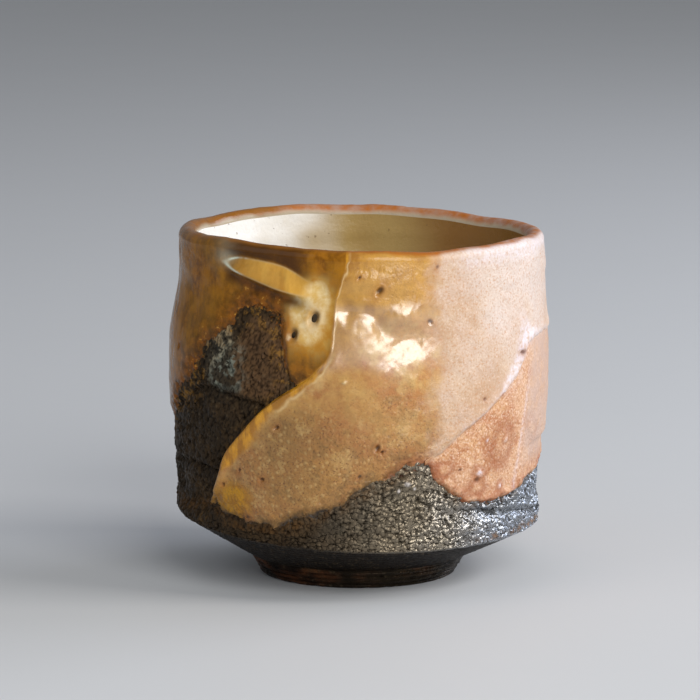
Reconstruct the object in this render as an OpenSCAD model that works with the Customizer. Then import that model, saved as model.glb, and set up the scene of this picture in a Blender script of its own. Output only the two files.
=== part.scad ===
// Hand-built stoneware sake cup, standing on its foot ring.
// The origin is on the table, on the axis of the foot. +Z is up and the front of the cup faces -Y.
// Angles round the wall count from the front, positive towards +X, which is the cup's right.
// All sizes are in millimetres.

/* [Cup] */
// Height of the clay lip above the table, averaged round the mouth
cup_h = 59.6; // [52:0.1:72]
// Outside diameter of the clay where the wall is luted to the base slab
seam_d = 62.6; // [56:0.1:70]
// Outside diameter of the clay at the belly
belly_d = 64.4; // [58:0.1:72]
// Outside diameter of the clay just under the lip
mouth_d = 62.6; // [56:0.1:70]
// Height of the belly above the table
belly_h = 38; // [30:0.5:44]
// How far the lip rises on the left and falls on the right
lip_tilt = 0.5; // [0:0.05:1]
// Height of the waves along the lip
lip_wave = 0.25; // [0:0.05:0.5]
// How far the mouth is pressed in between its four blunt corners
mouth_press = 0.3; // [0:0.05:0.6]
// How far the mouth leans to the right of the foot
mouth_lean = 0.5; // [0:0.05:0.8]

/* [Wall] */
// Thickness of the clay wall at the seam
wall_t = 4.4; // [3.6:0.1:6]
// Thickness of the clay wall just under the lip
lip_t = 2.4; // [2:0.1:3.4]
// Height of the rounded top of the lip
lip_round = 1.2; // [0.6:0.1:2]
// Radius of the inside corner between wall and floor
floor_fillet = 9; // [6:0.5:12]

/* [Base] */
// Height of the seam between the wall and the base slab
seam_h = 11.6; // [10.6:0.1:13]
// Outside diameter of the slab at its lower corner
corner_d = 62.2; // [52:0.1:68]
// Height of the slab's lower corner above the table
corner_h = 9.3; // [7.5:0.1:9.7]
// How far the corner rises on the left and falls on the right
corner_tilt = 0.9; // [0:0.05:1]
// How far the corner rises at both sides above its height at the front
corner_lift = 1; // [0:0.1:1.2]
// Height of the drinking floor above the table
floor_h = 9; // [7.5:0.1:10]

/* [Foot] */
// Outside diameter of the foot ring at the table
foot_d = 34; // [28:0.5:42]
// Height of the foot ring
foot_h = 3.4; // [2.6:0.1:4.6]
// Width of the foot ring at the table
foot_land = 3.6; // [2.4:0.1:5]
// How far the outside of the foot ring leans out between the table and the slab
foot_out_lean = 1.7; // [0.4:0.1:3]
// How far the inside of the foot ring leans in between the table and the slab
foot_in_lean = 1.2; // [0.4:0.1:2]
// Radius of the two lower edges of the foot ring
foot_edge_r = 0.5; // [0.2:0.1:1]

/* [Cuts] */
// Depth of the knife cut on the left side, where it is deepest
left_cut = 1.3; // [0.4:0.1:1.8]
// Height of each of the two ledges across the left cut, at most a third of its depth
ledge_t = 0.4; // [0.1:0.05:0.6]
// Width of the slope of a ledge
ledge_w = 1; // [0.6:0.1:1.6]
// Depth of the knife cuts on the right side and the back, where they are deepest
right_cut = 0.7; // [0.3:0.1:1.4]
// Width of the sloping step along the ridge where a knife cut ends
step_w = 1.6; // [0.8:0.1:3]
// Depth of the fold pressed in under the lip at the front left
fold_press = 0.8; // [0:0.05:1]
// Depth of the finger groove under the lip on the left
neck_press = 1; // [0:0.1:1.2]
// Share of that depth that the groove has on the right
right_neck = 0.55; // [0:0.05:1]
// Distance of the finger groove below the lip
neck_drop = 7; // [5:0.1:9]
// Half width of the finger groove
neck_w = 6; // [4:0.1:7]

/* [Glaze] */
// Thickness of the outside glaze
glaze_t = 0.6; // [0.3:0.05:1]
// Extra thickness of the roll along the lower edge of a glaze
roll_t = 0.3; // [0:0.05:0.5]
// Thickness of the glaze over the lip
lip_glaze_t = 0.35; // [0.2:0.05:0.6]
// Thickness of the glaze inside the cup
liner_t = 0.4; // [0.2:0.05:0.8]

/* [Hidden] */

// The wall's skin is a grid of columns round the cup and stations up the outside, over the lip and
// down the inside. The outside has thirteen bands of rows, which end at the glaze lines, the ledges and the
// fold below.
column_deg = 5;
columns = 360 / column_deg;
band_rows = [3, 4, 1, 1, 2, 1, 2, 1, 2, 3, 1, 2, 1];
lip_steps = 4;
inside_rows = 8;
dish_rows = 5;

// Stations where one stretch of the skin ends and the next begins
function rows_below(b) = b == 0 ? 0 : rows_below(b - 1) + band_rows[b - 1];
band_starts = [for (b = [0 : len(band_rows)]) rows_below(b)];
low_station = band_starts[1];
ridge_station = band_starts[3];
high_station = band_starts[9];
lip_station = band_starts[13];
inside_station = lip_station + lip_steps;
seam_station = inside_station + inside_rows;
floor_station = seam_station + dish_rows;

// Glaze lines round the cup: [angle, share of the wall's height from the seam to the lip]
low_line = [[-180, 0.12], [-130, 0.15], [-95, 0.03], [-55, 0.065], [-34, 0.02], [20, 0.24], [46, 0.095],
            [95, 0.2], [140, 0.08], [180, 0.12]];
ridge_line = [[-180, 0.42], [-130, 0.2], [-95, 0.07], [-75, 0.07], [-55, 0.1], [-20, 0.53], [-10, 0.66],
              [2, 0.55], [20, 0.28], [62, 0.65], [100, 0.74], [140, 0.66], [180, 0.42]];
high_line = [[-180, 0.6], [-130, 0.36], [-88, 0.36], [-70, 0.46], [-36, 0.81], [-18, 0.61], [-10, 0.72],
             [20, 0.7], [62, 0.8], [100, 0.86], [140, 0.8], [180, 0.6]];

// Ledges that the knife left across the left cut, in the same form
lower_ledge = [[-180, 0.2], [-75, 0.21], [-60, 0.214], [-38, 0.186], [180, 0.2]];
upper_ledge = [[-180, 0.33], [-130, 0.33], [-90, 0.36], [-62, 0.49], [-51, 0.51], [-36, 0.476], [180, 0.33]];

// Shares of the way from the ridge to the glaze line above it within which each ledge stays
lower_room = [0.15, 0.35];
upper_room = [0.6, 0.85];

// The fold under the lip: [angle, distance below the lip] of its valley and of the crest below the valley
fold_valley = [[-180, 1.8], [-50, 1.5], [-33, 1.4], [-26, 1.9], [-20, 2.9], [-14, 4.2], [180, 1.8]];
fold_crest = [[-180, 3.6], [-50, 2.5], [-42, 3.3], [-31, 4.9], [-21, 6.1], [-14, 6.7], [180, 3.6]];

// How far below the crest the fold's underside ends, and the heights over which the wall comes back to its form
fold_under = 1.2;
fold_fade = 6;

// Shares of the way from the lip to the glaze line below it at which the valley, crest and underside stop
fold_room = [0.35, 0.65, 0.8];

// Angles between which the fold lies, and the angles over which each of its ends runs out
fold_span = [-49, -13];
fold_ends = [6, 9];

// Angles at which one glaze ends and the next begins
front_from = -55;
shoulder_meets = -20;
shoulder_to = -10;
satin_from = 20;
back_from = 120;
back_to = 230;

// Angles between which each knife cut lies
left_cut_span = [-95, 5];
right_cut_spans = [[20, 60], [60, 115], [120, 175], [175, 230]];

// Share of the way from the seam to the ridge line up to which each of the cuts at the right and back reaches
right_cut_tops = [1, 0.42, 1, 1];

// Least height of the slab's band between its corner and the seam
corner_room = 0.4;

// Heights over which the left cut runs out above the shoulder glaze's edge, and every cut above the seam
cut_fade = 7;
seam_fade = 3.2;

lip_z = cup_h - lip_round;
foot_top_r = foot_d / 2 + foot_out_lean;
clay_colour = "#3b2c22";
foot_colour = "#4a3122";

function mix(a, b, f) = a + (b - a) * f;
function limit(f) = min(max(f, 0), 1);
function ease(f) = (1 - cos(180 * limit(f))) / 2;
function bell(d) = exp(-d * d);
function turned(a) = a > 180 ? a - 360 : a;

// A line through [angle, value] knots, eased from each to the next
function along(line, a) =
    let (m = [for (j = [0 : len(line) - 2]) if (a >= line[j][0] && a <= line[j + 1][0]) j][0])
    mix(line[m][1], line[m + 1][1], ease((a - line[m][0]) / (line[m + 1][0] - line[m][0])));

// A knife cut's depth between two angles, from 0 at its edges to 1 at its middle
function facet(span, a) =
    let (s = a < span[0] ? a + 360 : a)
    s > span[1] ? 0 : sin(180 * (s - span[0]) / (span[1] - span[0]));

// Heights of the lip, of the glaze lines and of the slab's corner at an angle
function lip_at(a) = lip_z - lip_tilt * sin(a) + lip_wave * cos(3 * (a + 50));
function height_at(line, a) = mix(seam_h, lip_at(a), along(line, a));
function corner_at(a) =
    min(corner_h - corner_tilt * sin(a) + corner_lift * pow(sin(a), 2), seam_h - corner_room);

// The wall as it was thrown, widest at the belly, and what pressing the mouth out of round adds to it
function up_wall(z) = limit((z - seam_h) / (lip_z - seam_h));
function thrown_r(z) =
    z < belly_h
    ? mix(seam_d, belly_d, sin(90 * (z - seam_h) / (belly_h - seam_h))) / 2
    : mix(belly_d, mouth_d, 1 - cos(90 * limit((z - belly_h) / (lip_z - belly_h)))) / 2;
function pressed(a, z) =
    mouth_press * up_wall(z) * (cos(4 * (a - 100)) - 1) / 2
    + mouth_lean * ease((z - belly_h) / (lip_z - belly_h)) * sin(a)
    - neck_press * (ease((1 - sin(a)) / 2) + right_neck * ease(sin(a))) * bell((lip_at(a) - neck_drop - z) / neck_w);

// The knife cuts: the left one lies above the ridge line, the others below it or below a share of its height
function above_cut(top, a, z) = ease((z - mix(seam_h, height_at(ridge_line, a), top)) / step_w + 0.5);
function above_ridge(a, z) = above_cut(1, a, z);
function half_step(a) =
    let (low = height_at(low_line, a), ridge = height_at(ridge_line, a), high = height_at(high_line, a))
    min(step_w, ridge - low, high - ridge) / 2;

// The stretch above the ridge's step in which the ledges lie, a ledge's height there and half its slope's width
function cut_ends(a) = [height_at(ridge_line, a) + half_step(a), height_at(high_line, a)];
function ledge_at(line, room, a) =
    let (ends = cut_ends(a), share = (height_at(line, a) - ends[0]) / (ends[1] - ends[0]))
    mix(ends[0], ends[1], min(max(share, room[0]), room[1]));
function half_ledge(a) = let (ends = cut_ends(a)) min(ledge_w, 0.15 * (ends[1] - ends[0])) / 2;
function above_ledge(line, room, a, z) = ease((z - ledge_at(line, room, a)) / (2 * half_ledge(a)) + 0.5);

// Each ledge takes its own height off the cut's depth above it
function left_depth(a, z) =
    let (ledges = above_ledge(lower_ledge, lower_room, a, z) + above_ledge(upper_ledge, upper_room, a, z))
    (left_cut - min(ledge_t, left_cut / 3) * ledges) * facet(left_cut_span, a) * above_ridge(a, z)
    * (1 - ease((z - height_at(high_line, a)) / cut_fade));
function right_depth(a, z) =
    right_cut * max([for (j = [0 : len(right_cut_spans) - 1])
        facet(right_cut_spans[j], a) * (1 - above_cut(right_cut_tops[j], a, z))]);
function cut_depth(a, z) = (left_depth(a, z) + right_depth(a, z)) * ease((z - seam_h) / seam_fade);

// The fold: heights of its underside, crest and valley, and how far it stands out of the wall as a share of
// its depth: from nothing at the lip in to the valley, out over the crest and in again below it
function fold_rows(a) =
    let (lip = lip_at(a), room = lip - height_at(high_line, a))
    let (crest = min(along(fold_crest, a), fold_room[1] * room))
    [lip - min(crest + fold_under, fold_room[2] * room), lip - crest,
     lip - min(along(fold_valley, a), fold_room[0] * room)];
function fold_shape(a, z) =
    let (rows = fold_rows(a), under = rows[0], crest = rows[1], valley = rows[2])
    z > valley ? limit((z - valley) / (lip_at(a) - valley)) - 1
    : z > crest ? mix(0.25, -1, (z - crest) / (valley - crest))
    : mix(0.25, -0.55, limit((crest - z) / (crest - under))) + 0.55 * ease((under - z) / fold_fade);
function fold_out(a, z) =
    let (from_start = ease((a - fold_span[0]) / fold_ends[0]), from_end = ease((fold_span[1] - a) / fold_ends[1]))
    fold_press * from_start * from_end * fold_shape(a, z);

// Outside and inside radius of the clay wall
function outside_r(a, z) = thrown_r(z) + pressed(a, z) - cut_depth(a, z) + fold_out(a, z);
function inside_r(a, z) = thrown_r(z) + pressed(a, z) - mix(wall_t, lip_t, up_wall(z));

// The inside corner is a quarter circle that runs into the flat floor
fillet_top = floor_h + floor_fillet;
function corner_r(a, turn) = inside_r(a, fillet_top) - floor_fillet * (1 - cos(turn));
function corner_turn(z) = asin((fillet_top - z) / floor_fillet);
function bowl_r(a, z) = z > fillet_top ? inside_r(a, z) : corner_r(a, corner_turn(z));

// Height of an outside row: rows are spread evenly within a band, and narrow bands hold the ridge's step, the
// slopes of the ledges and the fold
function band_ends(a) =
    let (ridge = height_at(ridge_line, a), step = half_step(a), slope = half_ledge(a))
    let (lower = ledge_at(lower_ledge, lower_room, a), upper = ledge_at(upper_ledge, upper_room, a))
    concat([seam_h, height_at(low_line, a), ridge - step, ridge, ridge + step, lower - slope, lower + slope,
            upper - slope, upper + slope, height_at(high_line, a)], fold_rows(a), [lip_at(a)]);
function row_height(a, k) =
    let (b = [for (j = [0 : len(band_rows) - 1]) if (k <= band_starts[j + 1]) j][0], ends = band_ends(a))
    mix(ends[b], ends[b + 1], (k - band_starts[b]) / band_rows[b]);

// A station of the skin at an angle: [radius, height, direction in which the skin faces]
function outside_point(a, z) = [outside_r(a, z), z, 0];
function lip_point(a, turn) =
    let (z = lip_at(a), middle = (outside_r(a, z) + bowl_r(a, z)) / 2)
    [mix(middle, outside_r(a, z), cos(turn)), z + lip_round * sin(turn), turn];
function inside_point(a, z) = [bowl_r(a, z), z, 180];
function dish_point(a, f) =
    let (turn = mix(corner_turn(seam_h), 90, f))
    [corner_r(a, turn), fillet_top - floor_fillet * sin(turn), mix(180, 90, f)];
function station(a, k) =
    k <= lip_station ? outside_point(a, row_height(a, k))
    : k <= inside_station ? lip_point(a, 180 * (k - lip_station) / lip_steps)
    : k <= seam_station ? inside_point(a, mix(lip_at(a), seam_h, (k - inside_station) / inside_rows))
    : dish_point(a, (k - seam_station) / dish_rows);

// A point at an angle, radius and height, and a point of the skin raised from it by a thickness
function polar(a, r, z) = [r * sin(a), -r * cos(a), z];
function skin(a, k, t) = let (s = station(a, k)) polar(a, s[0] + t * cos(s[2]), s[1] + t * sin(s[2]));

// Angles of one turn round the cup, and a ring of the skin at a station, raised by a thickness
turns = [for (i = [0 : columns - 1]) turned(i * column_deg)];
function skin_ring(k, t) = [for (a = turns) skin(a, k, t)];

// A closed solid through rings of points, each one turn round the axis. The last ring joins the first when
// looped, and otherwise flat faces close the first and last rings. Where the rings on a bond run down the
// skin, the quads are split along their other diagonals, so that both sides of a bond have the same triangles.
module ring_solid(rings, looped, downward) {
    last = len(rings) - (looped ? 1 : 2);
    sides = [for (k = [0 : last], i = [0 : columns - 1])
        let (a = k * columns, b = ((k + 1) % len(rings)) * columns, j = (i + 1) % columns)
        each downward ? [[a + i, b + i, a + j], [a + j, b + i, b + j]]
                      : [[a + i, b + i, b + j], [a + i, b + j, a + j]]];
    first_face = [for (i = [0 : columns - 1]) i];
    last_face = [for (i = [columns - 1 : -1 : 0]) (len(rings) - 1) * columns + i];
    polyhedron(points = [for (r = rings) each r],
               faces = looped ? sides : concat(sides, [first_face, last_face]));
}

// Thickness of an outside glaze, which swells into a roll towards the station of its lower edge
function coat_t(a, k, edge) = glaze_t + roll_t * bell((row_height(a, k) - row_height(a, edge)) / step_w);

// A glaze on the outside of the wall between two angles. In its column i, counted from the first angle,
// it covers the cells of the grid from station low(i) up to station high(i).
module coat(from, to, low, high) {
    wide = (to - from) / column_deg;
    tall = lip_station + 1;
    bonded = (wide + 1) * tall;
    angles = [for (i = [0 : wide]) turned(from + i * column_deg)];
    edges = [for (i = [0 : wide]) low(min(i, wide - 1))];
    grid = [for (i = [0 : wide], k = [0 : lip_station]) [i, k]];
    function at(i, k) = i * tall + k;
    function held(i, k) = i >= 0 && i < wide && k >= low(i) && k < high(i);
    cells = [for (c = grid) if (held(c[0], c[1])) c];
    quads = [for (c = cells) let (i = c[0], k = c[1])
        [at(i, k), at(i, k + 1), at(i + 1, k + 1), at(i + 1, k)]];
    rims = [for (c = cells) let (i = c[0], k = c[1])
        each [if (!held(i, k - 1)) [at(i, k), at(i + 1, k)],
              if (!held(i + 1, k)) [at(i + 1, k), at(i + 1, k + 1)],
              if (!held(i, k + 1)) [at(i + 1, k + 1), at(i, k + 1)],
              if (!held(i - 1, k)) [at(i, k + 1), at(i, k)]]];
    polyhedron(
        points = concat([for (c = grid) let (a = angles[c[0]]) skin(a, c[1], coat_t(a, c[1], edges[c[0]]))],
                        [for (c = grid) skin(angles[c[0]], c[1], 0)]),
        faces = concat([for (q = quads) each [[q[0], q[1], q[2]], [q[0], q[2], q[3]]]],
                       [for (q = quads) let (b = [for (v = q) v + bonded])
                           each [[b[0], b[2], b[1]], [b[0], b[3], b[2]]]],
                       [for (e = rims) let (b = [for (v = e) v + bonded])
                           each [[e[0], e[1], b[1]], [e[0], b[1], b[0]]]]));
}

// Faceted clay wall, luted to the base slab at the seam
module wall() {
    color(clay_colour)
        ring_solid([for (k = [0 : seam_station]) skin_ring(k, 0)], looped = true, downward = false);
}

// Base slab: the dished drinking floor above, and a chamfered underside that ends in the flat seat of the foot
module base_slab() {
    color(clay_colour)
        ring_solid(concat([[for (a = turns) polar(a, foot_top_r, foot_h)],
                           [for (a = turns) polar(a, corner_d / 2, corner_at(a))],
                           skin_ring(0, 0)],
                          [for (k = [seam_station : floor_station]) skin_ring(k, 0)]),
                   looped = false, downward = false);
}

// Foot ring: turned on the wheel, with rounded lower edges
module foot_ring() {
    out_r = foot_d / 2;
    in_r = out_r - foot_land;
    color(foot_colour)
        rotate_extrude($fn = 96)
            union() {
                polygon([[in_r + foot_edge_r, 0], [out_r - foot_edge_r, 0], [out_r, foot_edge_r],
                         [foot_top_r, foot_h], [in_r - foot_in_lean, foot_h], [in_r, foot_edge_r]]);
                for (r = [in_r + foot_edge_r, out_r - foot_edge_r])
                    translate([r, foot_edge_r])
                        circle(foot_edge_r, $fn = 24);
            }
}

// Glaze inside the cup, from the lip down over the floor
module liner_glaze() {
    color("#b9ad98")
        ring_solid(concat([for (k = [floor_station : -1 : inside_station]) skin_ring(k, 0)],
                          [for (k = [inside_station : floor_station]) skin_ring(k, liner_t)]),
                   looped = false, downward = true);
}

// Thin glaze over the rounded lip
module lip_glaze() {
    color("#b8713a")
        ring_solid(concat([for (k = [inside_station : -1 : lip_station]) skin_ring(k, 0)],
                          [for (k = [lip_station : inside_station]) skin_ring(k, lip_glaze_t)]),
                   looped = true, downward = true);
}

// Amber glaze on the front, with a tongue that runs down to the left under the ridge
module front_glaze() {
    tongue = (shoulder_to - front_from) / column_deg;
    color("#b98a4c")
        coat(front_from, satin_from, low = function(i) low_station,
             high = function(i) i < tongue ? ridge_station : lip_station);
}

// Brown glaze on the left, from the lip down to the bare cut and, beside the front, down to the ridge
module shoulder_glaze() {
    from = back_to - 360;
    bare = (shoulder_meets - from) / column_deg;
    color("#8a5a20")
        coat(from, shoulder_to, low = function(i) i < bare ? high_station : ridge_station,
             high = function(i) lip_station);
}

// Satin glaze on the right, above the ridge
module satin_glaze() {
    color("#d9b088")
        coat(satin_from, back_from, low = function(i) ridge_station, high = function(i) lip_station);
}

// Glaze in the cuts on the right, below the ridge
module side_glaze() {
    color("#c58a5c")
        coat(satin_from, back_from, low = function(i) low_station, high = function(i) ridge_station);
}

// Glaze over the back, from the lip to its own lower edge
module back_glaze() {
    color("#c99a6c")
        coat(back_from, back_to, low = function(i) low_station, high = function(i) lip_station);
}

wall();
base_slab();
foot_ring();
liner_glaze();
lip_glaze();
front_glaze();
shoulder_glaze();
satin_glaze();
side_glaze();
back_glaze();
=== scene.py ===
"""Looks of a hand-built stoneware sake cup: its clay, its poured glazes and the studio round it.

Every piece is a closed surface worked out on a grid of two parameters. A place on the cup's wall is an angle
in degrees from the front, growing towards the right, and a height above the table. Lengths are in millimetres
until a mesh is made, and the meshes are in metres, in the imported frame.
"""

import itertools
import logging
import math
from dataclasses import dataclass, field
from enum import Enum

import bpy
import numpy as np
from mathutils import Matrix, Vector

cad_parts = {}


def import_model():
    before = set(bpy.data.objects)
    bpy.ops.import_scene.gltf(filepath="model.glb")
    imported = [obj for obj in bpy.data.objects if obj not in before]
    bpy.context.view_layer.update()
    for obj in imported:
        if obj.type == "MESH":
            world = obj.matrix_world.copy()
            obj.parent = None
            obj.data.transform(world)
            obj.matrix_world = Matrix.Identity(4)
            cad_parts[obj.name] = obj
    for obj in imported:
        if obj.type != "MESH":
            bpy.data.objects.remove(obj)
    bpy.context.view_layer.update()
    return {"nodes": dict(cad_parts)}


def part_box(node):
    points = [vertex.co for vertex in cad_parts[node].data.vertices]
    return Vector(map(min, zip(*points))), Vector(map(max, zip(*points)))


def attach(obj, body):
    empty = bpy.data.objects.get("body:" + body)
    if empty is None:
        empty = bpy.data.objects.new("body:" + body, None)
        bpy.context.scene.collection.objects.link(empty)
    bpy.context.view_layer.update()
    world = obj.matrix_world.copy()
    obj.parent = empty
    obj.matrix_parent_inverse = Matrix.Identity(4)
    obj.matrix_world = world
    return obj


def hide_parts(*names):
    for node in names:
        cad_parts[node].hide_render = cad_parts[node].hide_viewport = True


Array = np.ndarray
Socket = bpy.types.NodeSocket
Value = float | tuple[float, ...] | Socket
# A colour is a socket, or six hex digits as it is seen
Color = str | Socket
Fields = dict[str, Array]

LOG = logging.getLogger("sake_cup")
MM = 0.001
BODY = "root"
# Counting round the cup starts in the bare cut at the back left, where no line has to join up with itself
FIRST_ANGLE = -130.0
LAST_ANGLE = FIRST_ANGLE + 360.0
# Usual radius of the wall, and the length of one degree along it
WALL_R = 32.0
ARC = math.radians(1.0) * WALL_R
# The way down the inside of the bowl, in shares: the wall ends at the first, the fillet at the second
WALL_SHARE = 0.6
FILLET_SHARE = 0.8
# How far clay lies back under a glaze
UNDER_GLAZE = 0.14
# Grains of the torn clay: distance in mm and pattern, and how much each leans back, tips and rounds off
GRAIN = 0.78
GRAIN_SEED = 43
GRAIN_LEAN = 0.34
GRAIN_TIP = 0.75
GRAIN_ROUND = 0.55
# Faces that meet at more than this stay crisp
CREASE = math.radians(55.0)


def ease(share: Array) -> Array:
    """Soft step from 0 to 1: three times the clipped share squared, less twice its cube."""
    share = np.clip(share, 0.0, 1.0)
    return share * share * (3.0 - 2.0 * share)


def bell(offset: Array) -> Array:
    """Round hump of height 1: e to the power of minus the offset squared."""
    return np.exp(-offset * offset)


def mix(low: Array | float, high: Array | float, share: Array | float) -> Array:
    """Straight blend from low at share 0 to high at share 1."""
    return low + (high - low) * share


def quarter_round(depth: Array, width: float) -> Array:
    """Edge of a thick glaze: rises from 0 to 1 over the width as the quarter of a circle does."""
    left = 1.0 - np.clip(depth / width, 0.0, 1.0)
    return np.sqrt(1.0 - left * left)


def around(angle: Array, radius: Array, height: Array) -> Array:
    """Points at an angle from the front (-Y) towards the right (+X), a radius and a height."""
    turn = np.radians(angle)
    return np.stack(np.broadcast_arrays(radius * np.sin(turn), -radius * np.cos(turn), height), axis=-1)


def hashed(cells: Array, seed: int) -> Array:
    """Gives each whole-number cell a fixed random number from 0 to 1 by scrambling its three numbers.

    Args:
        cells: Whole numbers, three in the last axis.
        seed: Picks one of many unlike patterns.

    Returns:
        One number per cell.
    """
    x, y, z = np.moveaxis(cells.astype(np.int64).astype(np.uint32), -1, 0)
    code = x * np.uint32(73856093) ^ y * np.uint32(19349663) ^ z * np.uint32(83492791)
    code = code ^ np.uint32(seed * 40503 + 977)
    code = (code ^ (code >> np.uint32(15))) * np.uint32(2246822519)
    code = (code ^ (code >> np.uint32(13))) * np.uint32(3266489917)
    return (code ^ (code >> np.uint32(16))).astype(float) / float(0xFFFFFFFF)


def noise(points: Array, size: float, seed: int, octaves: int = 1) -> Array:
    """Smooth noise from -1 to 1: the random numbers at a cell's eight corners, blended by smoothed shares.

    Args:
        points: Places in mm, three numbers in the last axis.
        size: Width of a cell in mm.
        seed: Picks the pattern.
        octaves: Layers added up, each half as wide and half as strong as the last.

    Returns:
        One number per point.
    """
    total = np.zeros(points.shape[:-1])
    for octave in range(octaves):
        scaled = points * (2.0**octave / size)
        corner = np.floor(scaled)
        part = scaled - corner
        share = part**3 * (part * (part * 6.0 - 15.0) + 10.0)
        for step in itertools.product((0, 1), repeat=3):
            weight = np.prod(np.where(np.array(step, bool), share, 1.0 - share), axis=-1)
            total += weight * (2.0 * hashed(corner + step, seed + octave) - 1.0) * 0.5**octave
    return total


def grit_domes(points: Array, size: float, seed: int) -> Array:
    """Domes packed like grit: the tallest of the domes on one random point in each neighbouring cell.

    Args:
        points: Places in mm, three numbers in the last axis.
        size: Width of a cell, about the distance from grain to grain, in mm.
        seed: Picks the pattern.

    Returns:
        Heights from 0 to 1, each dome falling off with the distance squared.
    """
    scaled = points / size
    cell = np.floor(scaled)
    tallest = np.zeros(points.shape[:-1])
    for step in itertools.product((-1, 0, 1), repeat=3):
        near = cell + step
        centre = near + np.stack([hashed(near, seed + axis) for axis in range(3)], axis=-1)
        fall = np.sum((scaled - centre) ** 2, axis=-1) / 0.55
        tallest = np.maximum(tallest, mix(0.35, 1.0, hashed(near, seed + 3)) * (1.0 - fall))
    return tallest


def granules(points: Array, size: float, seed: int) -> tuple[Array, Array]:
    """Grains packed side by side: a place belongs to the nearest of the random points, one in each cell.

    A grain's face falls off with the distance from its point squared, leans back as it rises, and tips its
    own way. The places are first moved by noise, so that the grains are uneven.

    Args:
        points: Places in mm, three numbers in the last axis.
        size: Width of a cell, about the distance from grain to grain, in mm.
        seed: Picks the pattern.

    Returns:
        Outward moves in mm, and the gaps between the grains, 1 where two grains are equally near.
    """
    wander = np.stack([noise(points, 0.9 * size, seed + 7 + axis, 2) for axis in range(3)], axis=-1)
    scaled = points / size + 0.3 * wander
    cell = np.floor(scaled)
    first, second = (np.full(points.shape[:-1], 9.0) for _ in range(2))
    face = np.zeros(points.shape[:-1])
    for step in itertools.product((-1, 0, 1), repeat=3):
        near = cell + step
        middle = np.stack([hashed(near, seed + axis) for axis in range(3)], axis=-1)
        tip = np.stack([hashed(near, seed + 3 + axis) for axis in range(3)], axis=-1) - 0.5
        offset = scaled - near - middle
        reach = np.sqrt(np.sum(offset * offset, axis=-1))
        tipped = GRAIN_TIP * np.sum(offset * tip, axis=-1) - GRAIN_LEAN * offset[..., 2]
        closer = reach < first
        second = np.where(closer, first, np.minimum(second, reach))
        face = np.where(closer, tipped - GRAIN_ROUND * (reach * reach - 0.3), face)
        first = np.where(closer, reach, first)
    return size * face, 1.0 - ease((second - first) / 0.2)


def torn_clay(places: Array) -> Array:
    """Relief of cut stoneware: packed grains of uneven strength with gaps between them, and slow lumps.

    Args:
        places: Places in mm, three numbers in the last axis.

    Returns:
        Outward moves in mm.
    """
    face, gap = granules(places, GRAIN, GRAIN_SEED)
    strength = np.clip(0.85 + 0.5 * noise(places, 2.2, 39), 0.35, 1.2)
    return strength * (face - 0.05 * gap) + 0.16 * noise(places, 3.2, 45, 2)


@dataclass(frozen=True)
class SmoothLine:
    """A line through given knots, each a place and a value, smooth between them and level at turns."""

    knots: tuple[tuple[float, float], ...]

    def at(self, place: Array) -> Array:
        """Reads the line: a cubic between knots, with the harmonic mean of the slopes beside each knot.

        Args:
            place: Where to read it. Beyond the ends it keeps its end values.

        Returns:
            The values there.
        """
        x, y = np.array(self.knots, float).T
        step = np.diff(x)
        rise = np.diff(y) / step
        before, after = rise[:-1], rise[1:]
        same_way = before * after > 0.0
        middle = np.where(same_way, 2.0 * before * after / np.where(same_way, before + after, 1.0), 0.0)
        slope = np.concatenate([rise[:1], middle, rise[-1:]])
        place = np.clip(place, x[0], x[-1])
        left = np.clip(np.searchsorted(x, place, side="right") - 1, 0, len(step) - 1)
        part = (place - x[left]) / step[left]
        ends = mix(y[left], y[left + 1], part * part * (3.0 - 2.0 * part))
        lean_in = part * (1.0 - part) ** 2 * step[left] * slope[left]
        lean_out = part * part * (1.0 - part) * step[left] * slope[left + 1]
        return ends + lean_in - lean_out

    def slope(self, place: Array) -> Array:
        """Change of value per unit of place, from the values a little to each side."""
        reach = 0.4
        return (self.at(place + reach) - self.at(place - reach)) / (2.0 * reach)


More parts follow.
